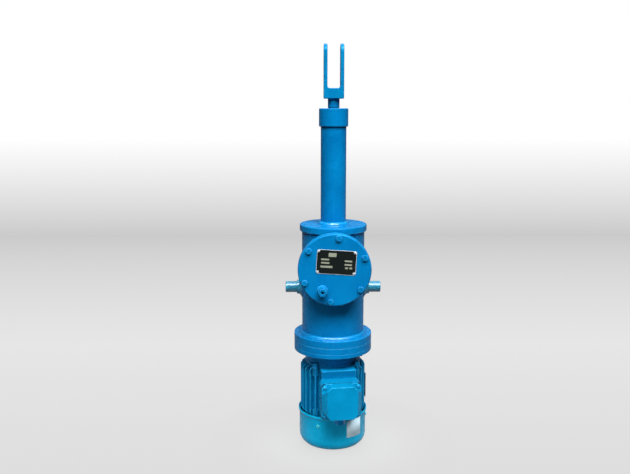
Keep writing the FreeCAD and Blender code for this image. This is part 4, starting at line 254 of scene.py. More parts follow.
# %% [markdown]
# ## Metals, rubber and plastics
# Hidden pieces get a true finish as well, because the tank can be opened and the rod comes out. A
# turned part shows fine rings, so its noise is squeezed along the axis, while a brushed plate has long
# scratches along one direction.

# %% Metals, rubber and plastics
def metal(name, dark, light, grain_mm, stretch, roughness, depth=0.01, metallic=1.0):
    finish = Finish(name, Metallic=metallic)
    grain = finish.noise(grain_mm, 4, stretch)
    finish.give("Base Color", finish.mix(finish.range(grain, 0.3, 0.7), colour(*dark), colour(*light)))
    finish.give("Roughness", finish.range(grain, 0.2, 0.8, roughness - 0.07, roughness + 0.09))
    finish.give("Normal", finish.bump(grain, depth))
    return finish.material


def matt(name, dark, light, grain_mm, roughness, depth=0.04):
    finish = Finish(name, Specular_IOR_Level=0.2)
    grain = finish.noise(grain_mm, 4)
    shade = finish.mix(finish.range(grain, 0.3, 0.7), colour(*dark), colour(*light))
    # Tight corners are painted darker: painted shade.
    finish.give("Base Color", finish.mix(finish.corners(6), shade, colour(*[v // 2 for v in dark])))
    finish.give("Roughness", finish.range(grain, 0.2, 0.8, roughness - 0.1, roughness + 0.1))
    finish.give("Normal", finish.bump(grain, depth))
    return finish.material


TURNED, EVEN, STACKED, BRUSHED = (0.1, 0.1, 1), (1, 1, 1), (0.05, 0.05, 1), (0.04, 0.04, 1)
bright = metal("etched_aluminium", (186, 194, 200), (216, 222, 226), 0.9, BRUSHED, 0.4, 0.006, 0.3)
chrome = metal("hard_chrome", (205, 208, 212), (232, 234, 236), 1.2, TURNED, 0.16, 0.002, 0.7)
black = matt("black_plate", (12, 18, 17), (22, 30, 28), 1.2, 0.38, 0.01)
finishes = {
    "blue_enamel": tank_blue,
    "chromed_rod": chrome,
    "machined_steel": metal("machined_steel", (132, 136, 140), (176, 179, 182), 0.8, TURNED, 0.32),
    "cast_aluminium": metal("cast_aluminium", (150, 152, 154), (188, 190, 191), 1.6, EVEN, 0.5, 0.03),
    "core_steel": metal("core_steel", (74, 76, 80), (120, 122, 126), 0.6, STACKED, 0.45),
    "copper_wire": metal("copper_wire", (150, 74, 38), (206, 122, 74), 1.0, EVEN, 0.34, 0.05),
    "bearing_steel": metal("bearing_steel", (176, 179, 184), (216, 218, 221), 0.7, TURNED, 0.18, 0.003),
    "bronze": metal("bronze", (146, 104, 52), (188, 146, 84), 0.9, TURNED, 0.3),
    "bare_plate": bright,
    "gasket_sheet": matt("painted_gasket", (4, 60, 92), (10, 84, 128), 2.0, 0.6),
    "seal_rubber": matt("seal_rubber", (16, 16, 17), (30, 30, 31), 1.5, 0.65),
    "fan_plastic": matt("fan_plastic", (26, 27, 29), (44, 45, 47), 2.5, 0.5),
    "board_resin": matt("board_resin", (52, 34, 22), (74, 50, 34), 3.0, 0.45),
    "gland_plastic": matt("gland_plastic", (18, 26, 30), (34, 44, 50), 2.0, 0.42),
    "black_plate": black,
}
print(len(finishes), "finishes")

# %% [markdown]
# ## First coat
# Every solid gets the finish that the record names for it. The castings of the motor take the greener
# enamel. Pieces made below then stand for the solids that the eye sees most.

# %% First coat
MOTOR_CASTINGS = {
    "fan_cowl", "cowl_screws", "rear_end_shield", "stator_frame", "flange_end_shield", "shield_bolts",
    "terminal_box", "terminal_box_lid", "terminal_lid_screws",
}
for row in frame["record"]["subparts"]:
    solid = frame["nodes"][row["node"]]
    finish = finishes[row["material_slot"]]
    if row["node"] in MOTOR_CASTINGS:
        finish = motor_blue
    solid.data.materials.clear()
    solid.data.materials.append(finish)

# %% [markdown]
# ## Keeping a piece
# A piece is drawn in a bmesh, Blender's workbench for mesh code, and then kept: it gets its finish,
# rides on a body of the frame and hides the solids it stands for. Smooth shading with weighted normals
# leaves flat faces flat and lets the small rounds catch the light.

# %% Keeping a piece
FLAT_WEIGHT = 90


def keep(bm, name, finish, nodes=(), body="housing", crease=38):
    mesh = bpy.data.meshes.new(name)
    bm.to_mesh(mesh)
    bm.free()
    mesh.shade_smooth()
    mesh.set_sharp_from_angle(angle=math.radians(crease))
    mesh.materials.append(finish)
    piece = bpy.data.objects.new(name, mesh)
    scene.collection.objects.link(piece)
    weighted = piece.modifiers.new("flat_faces", "WEIGHTED_NORMAL")
    weighted.keep_sharp = True
    weighted.weight = FLAT_WEIGHT
    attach(piece, body)
    if nodes:
        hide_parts(*nodes)
    print(f"{name}: {len(mesh.polygons)} faces")
    return piece


print("ready: keep")

# %% [markdown]
# ## Rounded edges
# No real edge is razor sharp, least of all under two coats of paint. A copy of a solid's mesh is loose
# triangles, so it is merged first, its flat triangles are dissolved into whole faces, and then one
# bevel rounds each edge that turns by more than 30 degrees. A cylinder's own facets turn by far less.

# %% Rounded edges
MERGE = 0.002 * MM
FLAT_ANGLE = math.radians(0.6)
SHARP_ANGLE = math.radians(30)


def round_edges(bm, width, segments=3):
    sharp = [edge for edge in bm.edges if edge.is_manifold and edge.calc_face_angle() > SHARP_ANGLE]
    bmesh.ops.bevel(
        bm, geom=sharp, offset=width * MM, offset_type="OFFSET", segments=segments, profile=0.5,
        affect="EDGES", material=-1, clamp_overlap=False,
    )
    return bm


def softened(node, width, segments=3):
    bm = bmesh.new()
    bm.from_mesh(frame["nodes"][node].data)
    bmesh.ops.remove_doubles(bm, verts=bm.verts, dist=MERGE)
    bmesh.ops.dissolve_limit(bm, angle_limit=FLAT_ANGLE, verts=bm.verts, edges=bm.edges)
    return round_edges(bm, width, segments)


print("ready: round_edges, softened")

# %% [markdown]
# ## Plates, flanges and castings
# These solids already have the right shape, so a rounded copy of each is enough. The width of the round
# follows how the part was made: about half a millimetre on turned edges, over one on castings, and most
# on the forged fork.

# %% Plates, flanges and castings
for node, width in (
    ("gland_cap", 0.7), ("reservoir_flange", 1.2), ("flange_gasket", 0.3), ("pump_plate", 1.2),
    ("flange_end_shield", 1.2), ("inspection_cover", 0.7), ("inspection_neck", 0.9), ("cover_gasket", 0.4),
    ("filler_plug", 0.7), ("cable_gland", 0.6),
):
    keep(softened(node, width), f"{node}_rounded", tank_blue, [node])
keep(softened("stator_frame", 0.9), "stator_frame_rounded", shaded_frame_blue, ["stator_frame"])
for node, width in (("terminal_box", 1.2), ("terminal_box_lid", 1.4), ("rear_end_shield", 0.6)):
    keep(softened(node, width), f"{node}_rounded", motor_blue, [node])

# %% [markdown]
# ## Fork
# The fork is forged, so its edges are the roundest. Below the block its neck is painted darker by height,
# a painted shadow of the block, and its edges are painted paler, partly a thinner coat and partly a
# painted highlight.

# %% Fork
NECK_SHADOW_UP_TO, NECK_SHADOW_ENDS = 893, 897.5
fork_paint = Finish("blue_enamel_with_painted_shadow", **PAINT_GLOSS)
tone = fork_paint.clouds(40, (2, 110, 164), (6, 128, 182))
# Below the block the neck is painted darker by height: the block's painted shadow.
neck_shadow = fork_paint.range(fork_paint.uneven_height(6, 2), NECK_SHADOW_UP_TO * MM, NECK_SHADOW_ENDS * MM, 0.3, 0)
tone = fork_paint.mix(neck_shadow, tone, colour(0, 44, 84))
# Edges are painted paler: partly a thinner coat, partly a painted highlight.
thin_coat_and_highlight = fork_paint.math("MULTIPLY", fork_paint.edges(2.4), 0.3)
fork_paint.give("Base Color", fork_paint.mix(thin_coat_and_highlight, tone, colour(46, 172, 236)))
fork_paint.give("Roughness", fork_paint.range(fork_paint.noise(22, 3), 0.25, 0.75, 0.2, 0.36))
fork_paint.give("Normal", fork_paint.bump(fork_paint.noise(3, 1), 0.06))
keep(softened("fork", 1.8), "fork_rounded", fork_paint.material, ["fork"], body="push_rod")

# %% [markdown]
# ## Turning on the lathe
# Round parts are a profile spun round the axis. A cylinder would do for the rough form, but a profile
# carries the steps and the rounds too. Each of its corners may name its own rounding, which a vertex
# bevel makes before the spin, as a turner breaks the edges while the part still turns.

# %% Turning on the lathe
LATHE_STEPS = 120


def turned(profile, steps=LATHE_STEPS, closed=True):
    """Spins (radius, height) or (radius, height, rounding) corners, in mm, round the Z axis."""
    bm = bmesh.new()
    wire = [bm.verts.new((corner[0] * MM, 0, corner[1] * MM)) for corner in profile]
    loop = wire + wire[:1] if closed else wire
    for pair in zip(loop, loop[1:]):
        bm.edges.new(pair)
    for vert, corner in zip(wire, profile):
        if len(corner) == 3:
            bmesh.ops.bevel(
                bm, geom=[vert], offset=corner[2] * MM, offset_type="OFFSET", segments=5, profile=0.5,
                affect="VERTICES", material=-1,
            )
    bmesh.ops.spin(
        bm, geom=bm.verts[:] + bm.edges[:], cent=(0, 0, 0), axis=(0, 0, 1), angle=2 * math.pi,
        steps=steps, use_merge=True,
    )
    bmesh.ops.remove_doubles(bm, verts=bm.verts, dist=MERGE)
    bmesh.ops.recalc_face_normals(bm, faces=bm.faces)
    return bm


print("the lathe turns in", LATHE_STEPS, "steps")

# %% [markdown]
# ## Moving and joining shapes
# A shape is drawn at the origin, where its sizes are easy to read, and then moved to its place by
# matrices. The shapes of a set are joined in one bmesh, so six bolts become one piece.

# %% Moving and joining shapes
def placed(bm, *moves):
    """Moves the shape by matrices, the last one first."""
    whole = Matrix.Identity(4)
    for move in moves:
        whole = whole @ move
    bmesh.ops.transform(bm, matrix=whole, verts=bm.verts)
    return bm


def shift(x, y, z):
    return Matrix.Translation((x * MM, y * MM, z * MM))


def turn(degrees, axis):
    return Matrix.Rotation(math.radians(degrees), 4, axis)


def together(parts):
    """Several shapes as one bmesh."""
    whole = bmesh.new()
    for part in parts:
        mesh = bpy.data.meshes.new("part")
        part.to_mesh(mesh)
        part.free()
        whole.from_mesh(mesh)
        bpy.data.meshes.remove(mesh)
    return whole


TO_FRONT = turn(90, "X")
print("turned to the front, up becomes", [round(value) for value in TO_FRONT @ Vector((0, 0, 1))])

# %% [markdown]
# ## Top plate
# A thick ring closes the tank round the tube. Its upper edge was turned with a wide round, which catches
# the light as one pale line, so the profile gives that corner 3 mm and the lower one far less.

# %% Top plate
TUBE_RADIUS, TOP_RADIUS = 32, 85
TOP_LOW, TOP_HIGH = 567, 583
TUBE_GAP = 0.05
lid_ring = turned([
    (TUBE_RADIUS + TUBE_GAP, TOP_LOW), (TOP_RADIUS, TOP_LOW, 0.6), (TOP_RADIUS, TOP_HIGH, 3.0),
    (TUBE_RADIUS + TUBE_GAP, TOP_HIGH),
], 160)
keep(lid_ring, "top_plate_ring", tank_blue, ["top_plate"])

# %% [markdown]
# ## Trunnion pins
# The tank hangs in its frame on two short pins, turned in one piece with a cone that sits on the tank.
# They work in bushes, so they are greased, and the film of grease over the thin paint gives them the
# brightest highlights on the object. A clear coat on the shader makes that film. The colour changes with
# the distance from the axis: whole paint at the tank, worn paint further out.

# %% Trunnion pins
TANK_RADIUS, TRUNNION_Z = 79.5, 418
GREASE_STARTS, GREASE_FULL = 80.5, 83.5
PIN = [
    (0, 122), (14, 122, 1.2), (14, 93, 0.5), (18, 93, 0.9), (18, 87, 1.5), (26, TANK_RADIUS, 1.2),
    (26, 74.8), (0, 74.8),
]
greased = Finish("greased_paint", Coat_Weight=0.9, Coat_IOR=1.5, Coat_Roughness=0.12, Roughness=0.4)
smear = greased.range(greased.noise(5, 3, (0.3, 1, 1)), 0.35, 0.7)
thin = greased.mix(smear, colour(10, 112, 146), colour(48, 154, 186))
# Near the tank its corners are painted darker: painted shade.
full = greased.mix(greased.corners(9), greased.clouds(60, TANK_DEEP, TANK_FRESH), colour(*CORNER_SHADE))
out = greased.math("ABSOLUTE", greased.axis("X"), 0)
share = greased.range(out, GREASE_STARTS * MM, GREASE_FULL * MM)
greased.give("Base Color", greased.mix(share, full, thin))
greased.give("Normal", greased.bump(greased.noise(1.4, 2, (1, 0.2, 0.2)), 0.02))
for node, lean in (("trunnion_right", 90), ("trunnion_left", -90)):
    pin = placed(turned(PIN, 72, closed=False), shift(0, 0, TRUNNION_Z), turn(lean, "Y"))
    keep(pin, f"{node}_pin", greased.material, [node])

# %% [markdown]
# ## Fan cowl
# The cowl is one deep pressing of thin sheet. Its skin is spun from the middle of the grille to the rim,
# which flares out round the motor's frame, the grille's slots are faces taken out of the skin, and a
# Solidify modifier gives the sheet its thickness, so the slots show real walls from below.

# %% Fan cowl
COWL_RADIUS, RIM_RADIUS, COWL_TURN = 87, 89.5, 243
SHEET_THICKNESS = 1.4
GRILLE_RINGS = [(13, 19), (24.5, 30.5), (36, 42), (47.5, 53.5)]
SLOT_PITCH, SLOT_SWEEP = 60, 48
skin = [(0, 0)]
for inner, outer in GRILLE_RINGS:
    skin += [(inner, 0), (outer, 0)]
skin += [(COWL_RADIUS, 0, 26), (COWL_RADIUS, 86, 1.5), (RIM_RADIUS, 88.5, 1.5), (RIM_RADIUS, 95)]
cowl = turned(skin, closed=False)


def in_a_slot(face):
    middle = face.calc_center_median() / MM
    radius = math.hypot(middle.x, middle.y)
    angle = math.degrees(math.atan2(middle.y, middle.x)) % SLOT_PITCH
    in_a_ring = any(inner < radius < outer for inner, outer in GRILLE_RINGS)
    return middle.z < 1 and angle < SLOT_SWEEP and in_a_ring


slots = [face for face in cowl.faces if in_a_slot(face)]
bmesh.ops.delete(cowl, geom=slots, context="FACES")
cowl_piece = keep(placed(cowl, turn(COWL_TURN, "Z")), "fan_cowl_pressing", cowl_blue, ["fan_cowl"])
sheet = cowl_piece.modifiers.new("sheet", "SOLIDIFY")
sheet.thickness = SHEET_THICKNESS * MM
sheet.offset = -1
print(len(slots), "faces cut for the grille")

# %% [markdown]
# ## Screws and bolts
# Sprayed along with everything else, a bolt still reads as a bolt: a washer, a six-sided head with its
# corners turned off, and a shank in its hole. The small screws have a domed head with a six-sided
# socket, which is a spun recess pulled to a hexagon.

# %% Bolts and screws to choose from
WASHER = 1.4


def hex_bolt(flats, head, shank, length):
    """A bolt whose washer sits on z = 0; its shank points down."""
    bm = bmesh.new()
    corner = flats / math.sqrt(3) * MM
    middle = shift(0, 0, (head + WASHER) / 2)
    depth = (head - WASHER) * MM
    bmesh.ops.create_cone(
        bm, cap_ends=True, segments=6, radius1=corner, radius2=corner, depth=depth, matrix=middle,
    )
    round_edges(bm, 0.05 * flats, 2)
    wide = 0.6 * flats
    ring = turned([(0, 0), (wide, 0, 0.3), (wide, WASHER, 0.3), (0, WASHER)], 48, closed=False)
    rod = turned([(0, 0), (shank, 0), (shank, -length, 0.6), (0, -length)], 32, closed=False)
    return together([bm, ring, rod])


def socket_screw(head, height, shank, length):
    """A domed screw whose head sits on z = 0."""
    well = 0.5 * head
    dome = [(0, 0.45 * height), (well, 0.45 * height), (well, height), (0.7 * head, height, 0.1 * head)]
    stem = [(head, 0.35 * height, 0.3 * height), (head, 0), (shank, 0), (shank, -length), (0, -length)]
    bm = turned(dome + stem, 48, closed=False)
    for vert in bm.verts:
        if abs(math.hypot(vert.co.x, vert.co.y) - well * MM) < 0.02 * MM:
            angle = math.degrees(math.atan2(vert.co.y, vert.co.x)) % 60 - 30
            pull = math.cos(math.radians(30)) / math.cos(math.radians(angle))
            vert.co.x *= pull
            vert.co.y *= pull
    return bm


print("ready: hex_bolt, socket_screw")

# %% [markdown]
# Each set of bolts goes to its circle, and every head is turned a little further than the last, because
# nobody lines them up. The motor stands eight degrees round on the tank, so its flange bolts turn with it.

# %% Bolts of the cover and the flange
WINDOW_Z, COVER_FACE = 484.5, -110.5
COVER_CIRCLE, FIRST_BOLT = 79.5, 23
bolts = []
for number in range(6):
    angle = FIRST_BOLT + 60 * number
    spot = shift(0, COVER_FACE, WINDOW_Z) @ TO_FRONT @ turn(angle, "Z") @ shift(COVER_CIRCLE, 0, 0)
    bolt = hex_bolt(flats=13, head=5.3, shank=4, length=22)
    bolts.append(placed(bolt, spot, turn(7 * number, "Z")))
keep(together(bolts), "cover_bolt_set", tank_blue, ["cover_bolts"])

MOTOR_TURN = turn(8, "Z")
FLANGE_CIRCLE, FLANGE_LOW = 82.5, 255
bolts = []
for number in range(4):
    angle = 45 + 90 * number
    spot = MOTOR_TURN @ turn(angle, "Z") @ shift(FLANGE_CIRCLE, 0, FLANGE_LOW) @ turn(180, "X")
    bolt = hex_bolt(flats=16, head=6.4, shank=5, length=39)
    bolts.append(placed(bolt, spot, turn(11 * number, "Z")))
keep(together(bolts), "flange_bolt_set", tank_blue, ["flange_bolts"])

# %% [markdown]
# Three screws hold the cowl round its side, and they get a paler enamel of their own. The four of the
# terminal box sit in the corners of its lid and turn with the motor.

# %% Screws of the cowl and the terminal box
def four_corners(across, up):
    return [(across, up), (-across, up), (-across, -up), (across, -up)]


COWL_SCREW_Z = 69
pale_screw_blue = enamel("blue_enamel_pale", (44, 190, 214), (74, 208, 228), 3.4, 0.04, edge_mm=0.9)
screws = []
for number in range(3):
    angle = COWL_TURN + 120 * number
    spot = turn(angle, "Z") @ shift(COWL_RADIUS, 0, COWL_SCREW_Z) @ turn(90, "Y")
    screws.append(placed(socket_screw(head=4.8, height=3.2, shank=2.5, length=14), spot))
keep(together(screws), "cowl_screw_set", pale_screw_blue, ["cowl_screws"])

BOX_Z, LID_RIM = 156.25, -129.5
screws = []
for across, up in four_corners(41.5, 37.75):
    spot = MOTOR_TURN @ shift(across, LID_RIM, BOX_Z + up) @ TO_FRONT
    screws.append(placed(socket_screw(head=4, height=2.6, shank=2, length=20), spot))
keep(together(screws), "lid_screw_set", motor_blue, ["terminal_lid_screws"])

# %% [markdown]
# ## Weld beads
# The tank is welded from a tube, two rings, a neck and two bosses. A bead is a quarter round spun in
# the corner, then rippled along its length as the torch left it. Where a round neck meets the round
# tank, the ring is pressed back onto the tank's surface point by point. A bump map would be quicker, but
# the beads show in the outline, so they are real shapes.

# %% Shapes of a bead
def ripple(bm, count, depth):
    """Raises even ripples with a little unevenness along a bead round the Z axis."""
    bm.normal_update()
    for vert in bm.verts:
        angle = math.atan2(vert.co.y, vert.co.x)
        wander = noise.noise(vert.co / (9 * MM))
        vert.co += vert.normal * depth * MM * (0.6 * math.sin(count * angle) + 0.8 * wander)
    return bm


def corner_bead(radius, height, leg, upwards):
    """A bead in the corner between an upright tube and a flat plate."""
    side = 1 if upwards else -1
    arc = []
    for degrees in (0, 22.5, 45, 67.5, 90):
        angle = math.radians(degrees)
        arc.append((radius + leg * math.cos(angle), height + side * leg * math.sin(angle)))
    root = (radius - 0.3 * leg, height - side * 0.3 * leg)
    steps = max(120, int(radius * 3.6))
    return ripple(turned([root, *arc], steps), steps // 5, 0.06 * leg)


def saddle_bead(ring, leg):
    """A bead round a neck that stands on the tank, built about Z with the tank's axis along Y."""
    circle = []
    for degrees in range(0, 360, 45):
        angle = math.radians(degrees)
        circle.append((ring + leg * math.cos(angle), leg * math.sin(angle)))
    steps = max(96, int(ring * 4))
    bm = ripple(turned(circle, steps), steps // 5, 0.07 * leg)
    tank = TANK_RADIUS * MM
    for vert in bm.verts:
        across = min(abs(vert.co.x), tank)
        vert.co.z += math.sqrt(tank ** 2 - across ** 2)
    return bm


print("ready: corner_bead, saddle_bead")

# %% [markdown]
# Most beads are painted over together with the tank. Wet paint ran down and pooled on the two at the feet
# of the tube and the tank, so those have a finish of their own, with a clear coat that shines. Their blue
# is lighter than the tank's, as a painted highlight.

# %% Weld beads
SHELL_LOW = 300
NECK_RADIUS, NECK_END = 70, 87
PLUG_RADIUS, PLUG_ACROSS, PLUG_DOWN = 11.5, -30, 50
BOSS_RADIUS = 25.2
WINDOW = shift(0, 0, WINDOW_Z) @ TO_FRONT
PLUG = shift(PLUG_ACROSS, COVER_FACE, WINDOW_Z - PLUG_DOWN) @ TO_FRONT
beads = [
    corner_bead(TANK_RADIUS, TOP_LOW, 3.6, upwards=False),
    placed(saddle_bead(NECK_RADIUS, 3.0), WINDOW),
    placed(corner_bead(NECK_RADIUS, NECK_END, 3.0, upwards=False), WINDOW),
    placed(corner_bead(PLUG_RADIUS, 0, 1.6, upwards=True), PLUG),
]
for side in (90, -90):
    beads.append(placed(saddle_bead(BOSS_RADIUS, 2.0), shift(0, 0, TRUNNION_Z), turn(side, "Z"), TO_FRONT))
keep(together(beads), "weld_beads", tank_blue, crease=60)

pooled = Finish(
    "pooled_enamel", Roughness=0.3, Coat_Weight=0.8, Coat_IOR=1.5, Coat_Roughness=0.2,
    Coat_Tint=(0.75, 0.95, 1, 1),
)
# The beads' blue is lighter than the tank's: a painted highlight.
pooled.give("Base Color", pooled.clouds(12, (0, 122, 184), (6, 148, 210)))
pooled.give("Normal", pooled.bump(pooled.noise(4, 2), 0.06))
feet = [
    corner_bead(TUBE_RADIUS, TOP_HIGH, 7.0, upwards=True),
    corner_bead(TANK_RADIUS, SHELL_LOW, 6.0, upwards=True),
]
keep(together(feet), "foot_weld_beads", pooled.material, crease=60)

# %% [markdown]
# ## Panels and rivets
# On an etched plate the fields stand proud by a tenth or two of a millimetre. A texture could show them,
# but a thin panel with real sides catches the light at its edges from wherever it is seen.

# %% Panels and rivets
def flat_panel(left, right, low, high, base, thickness, corner, cut=1):
    """A thin panel on the plate: a square face, its corners rounded or cut, raised from its base."""
    bm = bmesh.new()
    middle = shift((left + right) / 2, (low + high) / 2, base)
    size = Matrix.Diagonal(((right - left) / 2 * MM, (high - low) / 2 * MM, 1, 1))
    bmesh.ops.create_grid(bm, x_segments=1, y_segments=1, size=1, matrix=middle @ size)
    bmesh.ops.bevel(
        bm, geom=bm.verts[:], offset=corner * MM, offset_type="OFFSET", segments=cut, profile=0.5,
        affect="VERTICES", material=-1,
    )
    raised = bmesh.ops.extrude_face_region(bm, geom=bm.faces[:])
    tops = [item for item in raised["geom"] if isinstance(item, bmesh.types.BMVert)]
    bmesh.ops.translate(bm, verts=tops, vec=(0, 0, thickness * MM))
    bmesh.ops.recalc_face_normals(bm, faces=bm.faces)
    return bm


def rivet(radius, height, rounding, steps):
    dome = [(0, height), (radius, height, rounding), (radius, 0), (0, 0)]
    return turned(dome, steps, closed=False)


print("ready: flat_panel, rivet")

# %% [markdown]
# ## Nameplate
# A dark plate with a bright edge is riveted to the cover a little askew. The plate itself is a rounded
# copy of the solid; the dark panel lies on it and the blank fields lie on the panel.

# %% Nameplate
PLATE_ACROSS, PLATE_UP, PLATE_ASKEW = 4, 20, -3.6
PLATE = shift(PLATE_ACROSS, COVER_FACE, WINDOW_Z + PLATE_UP) @ TO_FRONT @ turn(PLATE_ASKEW, "Z")
PANEL_BASE, FIELD_BASE, RIVET_BASE = 0.7, 0.88, 0.75
FIELDS = [
    (-20, -1, 13, 22.5), (-38, -18, 4, 8), (-37, -17, -4.5, -0.5), (-38, -9, -14.5, -9.5),
    (20, 38, 2.5, 6.5), (20, 38, -6.5, -2.5), (22, 29, -15, -10.5), (32, 39, -15, -10.5),
]
keep(softened("nameplate", 0.2, 2), "nameplate_edge", bright, ["nameplate"])
panel = flat_panel(-47.3, 47.3, -28.8, 28.8, PANEL_BASE, 0.22, corner=8)
keep(placed(panel, PLATE), "nameplate_panel", black)
etched = matt("etched_fields", (126, 132, 116), (168, 172, 154), 1.2, 0.5, 0.02)
fields = [flat_panel(*field, FIELD_BASE, 0.12, corner=0.6, cut=2) for field in FIELDS]
keep(placed(together(fields), PLATE), "nameplate_fields", etched)
rivets = []
for across, up in four_corners(44, 25.5):
    rivets.append(placed(rivet(2.8, 1.5, 1.4, 32), PLATE, shift(across, up, RIVET_BASE)))
keep(together(rivets), "nameplate_rivet_heads", bright, ["nameplate_rivets"])

# %% [markdown]
# ## Rating plate
# The motor's own plate sits on the fins at its right side: bare aluminium, with one wide blank field above
# two columns. The same panels and rivets make it, drawn flat and then turned to face outwards.

# %% Rating plate
RATING_OUT, RATING_Z = 84, 153
RATING = MOTOR_TURN @ shift(RATING_OUT, 0, RATING_Z) @ turn(90, "Z") @ TO_FRONT
RAISED = {"base": PANEL_BASE, "thickness": 0.2, "corner": 0.8, "cut": 2}
keep(softened("rating_plate", 0.25, 2), "rating_plate_edge", bright, ["rating_plate"])
rows = [flat_panel(-15, 15, 18, 26, **RAISED)]
for low in (-26, -18, -10, -2, 6):
    rows.append(flat_panel(-18, -1.5, low, low + 5, **RAISED))
    rows.append(flat_panel(1.5, 18, low, low + 5, **RAISED))
for across, up in four_corners(19, 30):
    rows.append(placed(rivet(1.9, 1.1, 1.0, 24), shift(across, up, RIVET_BASE)))
keep(placed(together(rows), RATING), "rating_plate_fields", bright)

# %% [markdown]
# ## Label
# Low on the cowl sticks a blank paper label. A flat sheet wouldn't lie on the round cowl, so the label is
# a strip of the cowl's own round: one upright edge spun through about thirty degrees, to which a Solidify
# modifier gives the thickness of paper.

# %% Label
LABEL_LOW, LABEL_HIGH, LABEL_START, LABEL_SWEEP = 38, 86, -67, 31
LABEL_THICKNESS, GLUE = 0.12, 0.05
paper = Finish("label_paper", Roughness=0.45)
fibre = paper.noise(3, 4, (1, 1, 0.2))
white = paper.mix(paper.range(fibre, 0.3, 0.7), colour(198, 232, 246), colour(220, 242, 250))
paper.give("Base Color", white)
paper.give("Normal", paper.bump(fibre, 0.02))
label = bmesh.new()
ends = [label.verts.new(((COWL_RADIUS + GLUE) * MM, 0, z * MM)) for z in (LABEL_LOW, LABEL_HIGH)]
edge = label.edges.new(ends)
bmesh.ops.spin(
    label, geom=[*ends, edge], cent=(0, 0, 0), axis=(0, 0, 1), angle=math.radians(LABEL_SWEEP), steps=24,
)
bmesh.ops.recalc_face_normals(label, faces=label.faces)
label = placed(label, turn(LABEL_START, "Z"))
label_piece = keep(label, "blank_label", paper.material)
film = label_piece.modifiers.new("film", "SOLIDIFY")
film.thickness = LABEL_THICKNESS * MM
film.offset = 1

# %% [markdown]
# ## Floor and backdrop
# The photograph's studio is plain: a pale grey floor that meets a backdrop, which fades to white. Both
# glow for the camera, and a little for reflections, so they stay pale in the distance and put no extra
# light on the paint. Near the foot more of the floor is plain paint, which takes the shadow. Seen from
# its back, a sheet is clear, so a camera under the floor can look at the grille.

# %% Sheets that glow for the eye
def stage_sheet(name, half, turn_up, place):
    """A square sheet of the studio, flat or turned up to stand as a wall."""
    bm = bmesh.new()
    bmesh.ops.create_grid(bm, x_segments=1, y_segments=1, size=half)
    bmesh.ops.rotate(bm, verts=bm.verts, matrix=Matrix.Rotation(turn_up, 3, "X"))
    bmesh.ops.translate(bm, verts=bm.verts, vec=place)
    mesh = bpy.data.meshes.new(name)
    bm.to_mesh(mesh)
    bm.free()
    sheet = bpy.data.objects.new(name, mesh)
    scene.collection.objects.link(sheet)
    return sheet


def glow_for_the_eye(finish, tone, share, mirrored):
    """Blends paint with its own glow, for camera rays by share and for mirrored rays by a part of it."""
    glow = finish.node("ShaderNodeEmission", {"Color": tone, "Strength": 1.0}).outputs[0]
    rays = finish.tree.nodes.new("ShaderNodeLightPath")
    glossy = finish.math("MULTIPLY", rays.outputs["Is Glossy Ray"], mirrored)
    seen = finish.math("MULTIPLY", finish.math("MAXIMUM", rays.outputs["Is Camera Ray"], glossy), share)
    both = finish.node("ShaderNodeMixShader", {0: seen, 1: finish.shader.outputs[0], 2: glow}).outputs[0]
    under = finish.tree.nodes.new("ShaderNodeNewGeometry").outputs["Backfacing"]
    clear = finish.tree.nodes.new("ShaderNodeBsdfTransparent").outputs[0]
    one_sided = finish.node("ShaderNodeMixShader", {0: under, 1: both, 2: clear}).outputs[0]
    finish.tree.links.new(one_sided, finish.tree.nodes["Material Output"].inputs["Surface"])


print("ready: stage_sheet, glow_for_the_eye")

# %% [markdown]
# The floor's own paint is pale at the foot and dull further out, so that it throws little light up at the
# object. The tones along its depth follow the photograph: palest behind the object, darker at the wall.

# %% Floor
def grey(level):
    return colour(level, level, level)


WALL_Y, SHEET_HALF, FLOOR_DROP = 3.3, 20, 0.3
NEAR, FAR = 0.15, 0.34
HORIZON = 203
floor_paint = Finish("floor_paint", Roughness=0.85, Specular_IOR_Level=0.1)
length = floor_paint.node("ShaderNodeVectorMath", {0: floor_paint.place}, operation="LENGTH")
far = floor_paint.range(length.outputs["Value"], NEAR, FAR)
dull = floor_paint.mix(floor_paint.noise(400, 3), grey(62), grey(72))
floor_paint.give("Base Color", floor_paint.mix(far, grey(150), dull))
depth = floor_paint.axis("Y")
pale = floor_paint.mix(floor_paint.range(depth, -0.3, 0.8), grey(223), grey(232))
pale = floor_paint.mix(floor_paint.range(depth, 0.8, WALL_Y), pale, grey(HORIZON))
pale = floor_paint.mix(far, grey(230), pale)
glow_for_the_eye(floor_paint, pale, floor_paint.range(far, 0, 1, 0.85, 0.98), mirrored=0.16)
floor = stage_sheet("floor", SHEET_HALF, 0, (0, WALL_Y - SHEET_HALF, -FLOOR_DROP * MM))
floor.data.materials.append(floor_paint.material)
print("the floor is", 2 * SHEET_HALF, "m wide")

# %% [markdown]
# The backdrop glows in the same way. It starts in the floor's darkest tone, so the seam between the two
# stays soft, and fades to white, which the picture shows near the top of the tube.

# %% Backdrop
FADE_HEIGHT = 0.66
wall_paint = Finish("backdrop_paint", Roughness=1.0)
wall_paint.give("Base Color", wall_paint.mix(wall_paint.noise(600, 2), grey(64), grey(74)))
fade = wall_paint.range(wall_paint.axis("Z"), 0.0, FADE_HEIGHT)
glow_for_the_eye(wall_paint, wall_paint.mix(fade, grey(HORIZON), grey(255)), 1.0, mirrored=0.05)
wall = stage_sheet("backdrop", SHEET_HALF, math.pi / 2, (0, WALL_Y, SHEET_HALF))
wall.data.materials.append(wall_paint.material)
print("floor and backdrop meet", WALL_Y, "m behind the object")

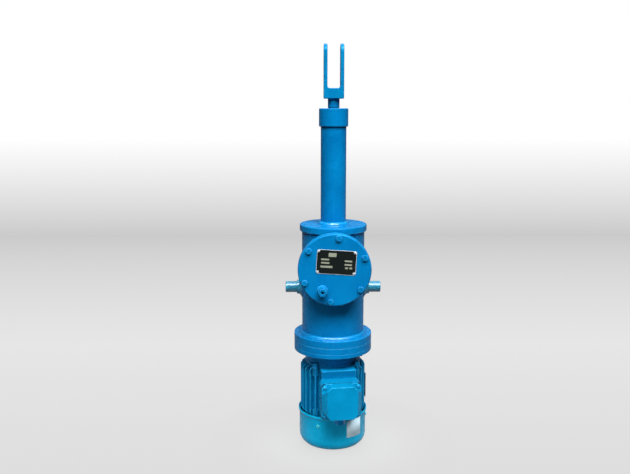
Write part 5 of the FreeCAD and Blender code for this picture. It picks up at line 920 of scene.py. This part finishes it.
# %% [markdown]
# ## Light
# A wide soft lamp stands high in front, a little to the right, so the round cover throws its shadow down
# the tank and the flange darkens the neck of the motor. A lamp overhead brightens what faces up. A wide
# one behind opens the back, and is hidden from the camera and from reflections. A small spot low at the
# left opens the shadows round the foot. Together they light a face that looks at the camera at about the
# level at which a colour renders as written.

# %% Light
OBJECT_MIDDLE = (0, 0, 0.5)
COWL_FRONT = (-0.03, -0.05, 0.07)


def hang(lamp, place, target):
    """Puts a lamp in its place and aims it."""
    stand = bpy.data.objects.new(lamp.name, lamp)
    stand.location = place
    stand.rotation_euler = (Vector(target) - stand.location).to_track_quat("-Z", "Y").to_euler()
    scene.collection.objects.link(stand)
    return stand


def soft_lamp(name, place, size, watts):
    lamp = bpy.data.lights.new(name, "AREA")
    lamp.shape = "RECTANGLE"
    lamp.size, lamp.size_y = size
    lamp.energy = watts
    return hang(lamp, place, OBJECT_MIDDLE)


soft_lamp("high_front", place=(0.45, -2.65, 5.1), size=(5.6, 2.8), watts=740)
soft_lamp("overhead", place=(0, 1.2, 2.9), size=(1.4, 1.2), watts=11)
behind = soft_lamp("behind", place=(0.2, 2.9, 1.2), size=(2.6, 1.4), watts=100)
behind.visible_camera = False
behind.visible_glossy = False
foot = bpy.data.lights.new("foot_spot", "SPOT")
foot.energy = 70
foot.spot_size = math.radians(15.5)
foot.spot_blend = 1.0
foot.shadow_soft_size = 0.3
hang(foot, (-1.4, -1.55, 0.45), COWL_FRONT)

# %% [markdown]
# The room itself is nearly dark, so that the lamps alone shape the object. Only the camera sees it as
# white, beyond the floor and the backdrop.

# %% Room
ROOM_LIGHT, ROOM_SEEN = 0.06, 1.0
room = bpy.data.worlds.new("room")
scene.world = room
room.use_nodes = True
backing = room.node_tree.nodes["Background"]
backing.inputs["Color"].default_value = (1, 1, 1, 1)
rays = room.node_tree.nodes.new("ShaderNodeLightPath")
level = room.node_tree.nodes.new("ShaderNodeMapRange")
level.inputs["To Min"].default_value = ROOM_LIGHT
level.inputs["To Max"].default_value = ROOM_SEEN
room.node_tree.links.new(rays.outputs["Is Camera Ray"], level.inputs["Value"])
room.node_tree.links.new(level.outputs["Result"], backing.inputs["Strength"])
print("the room gives", ROOM_LIGHT, "of light and shows as", ROOM_SEEN)

# %% [markdown]
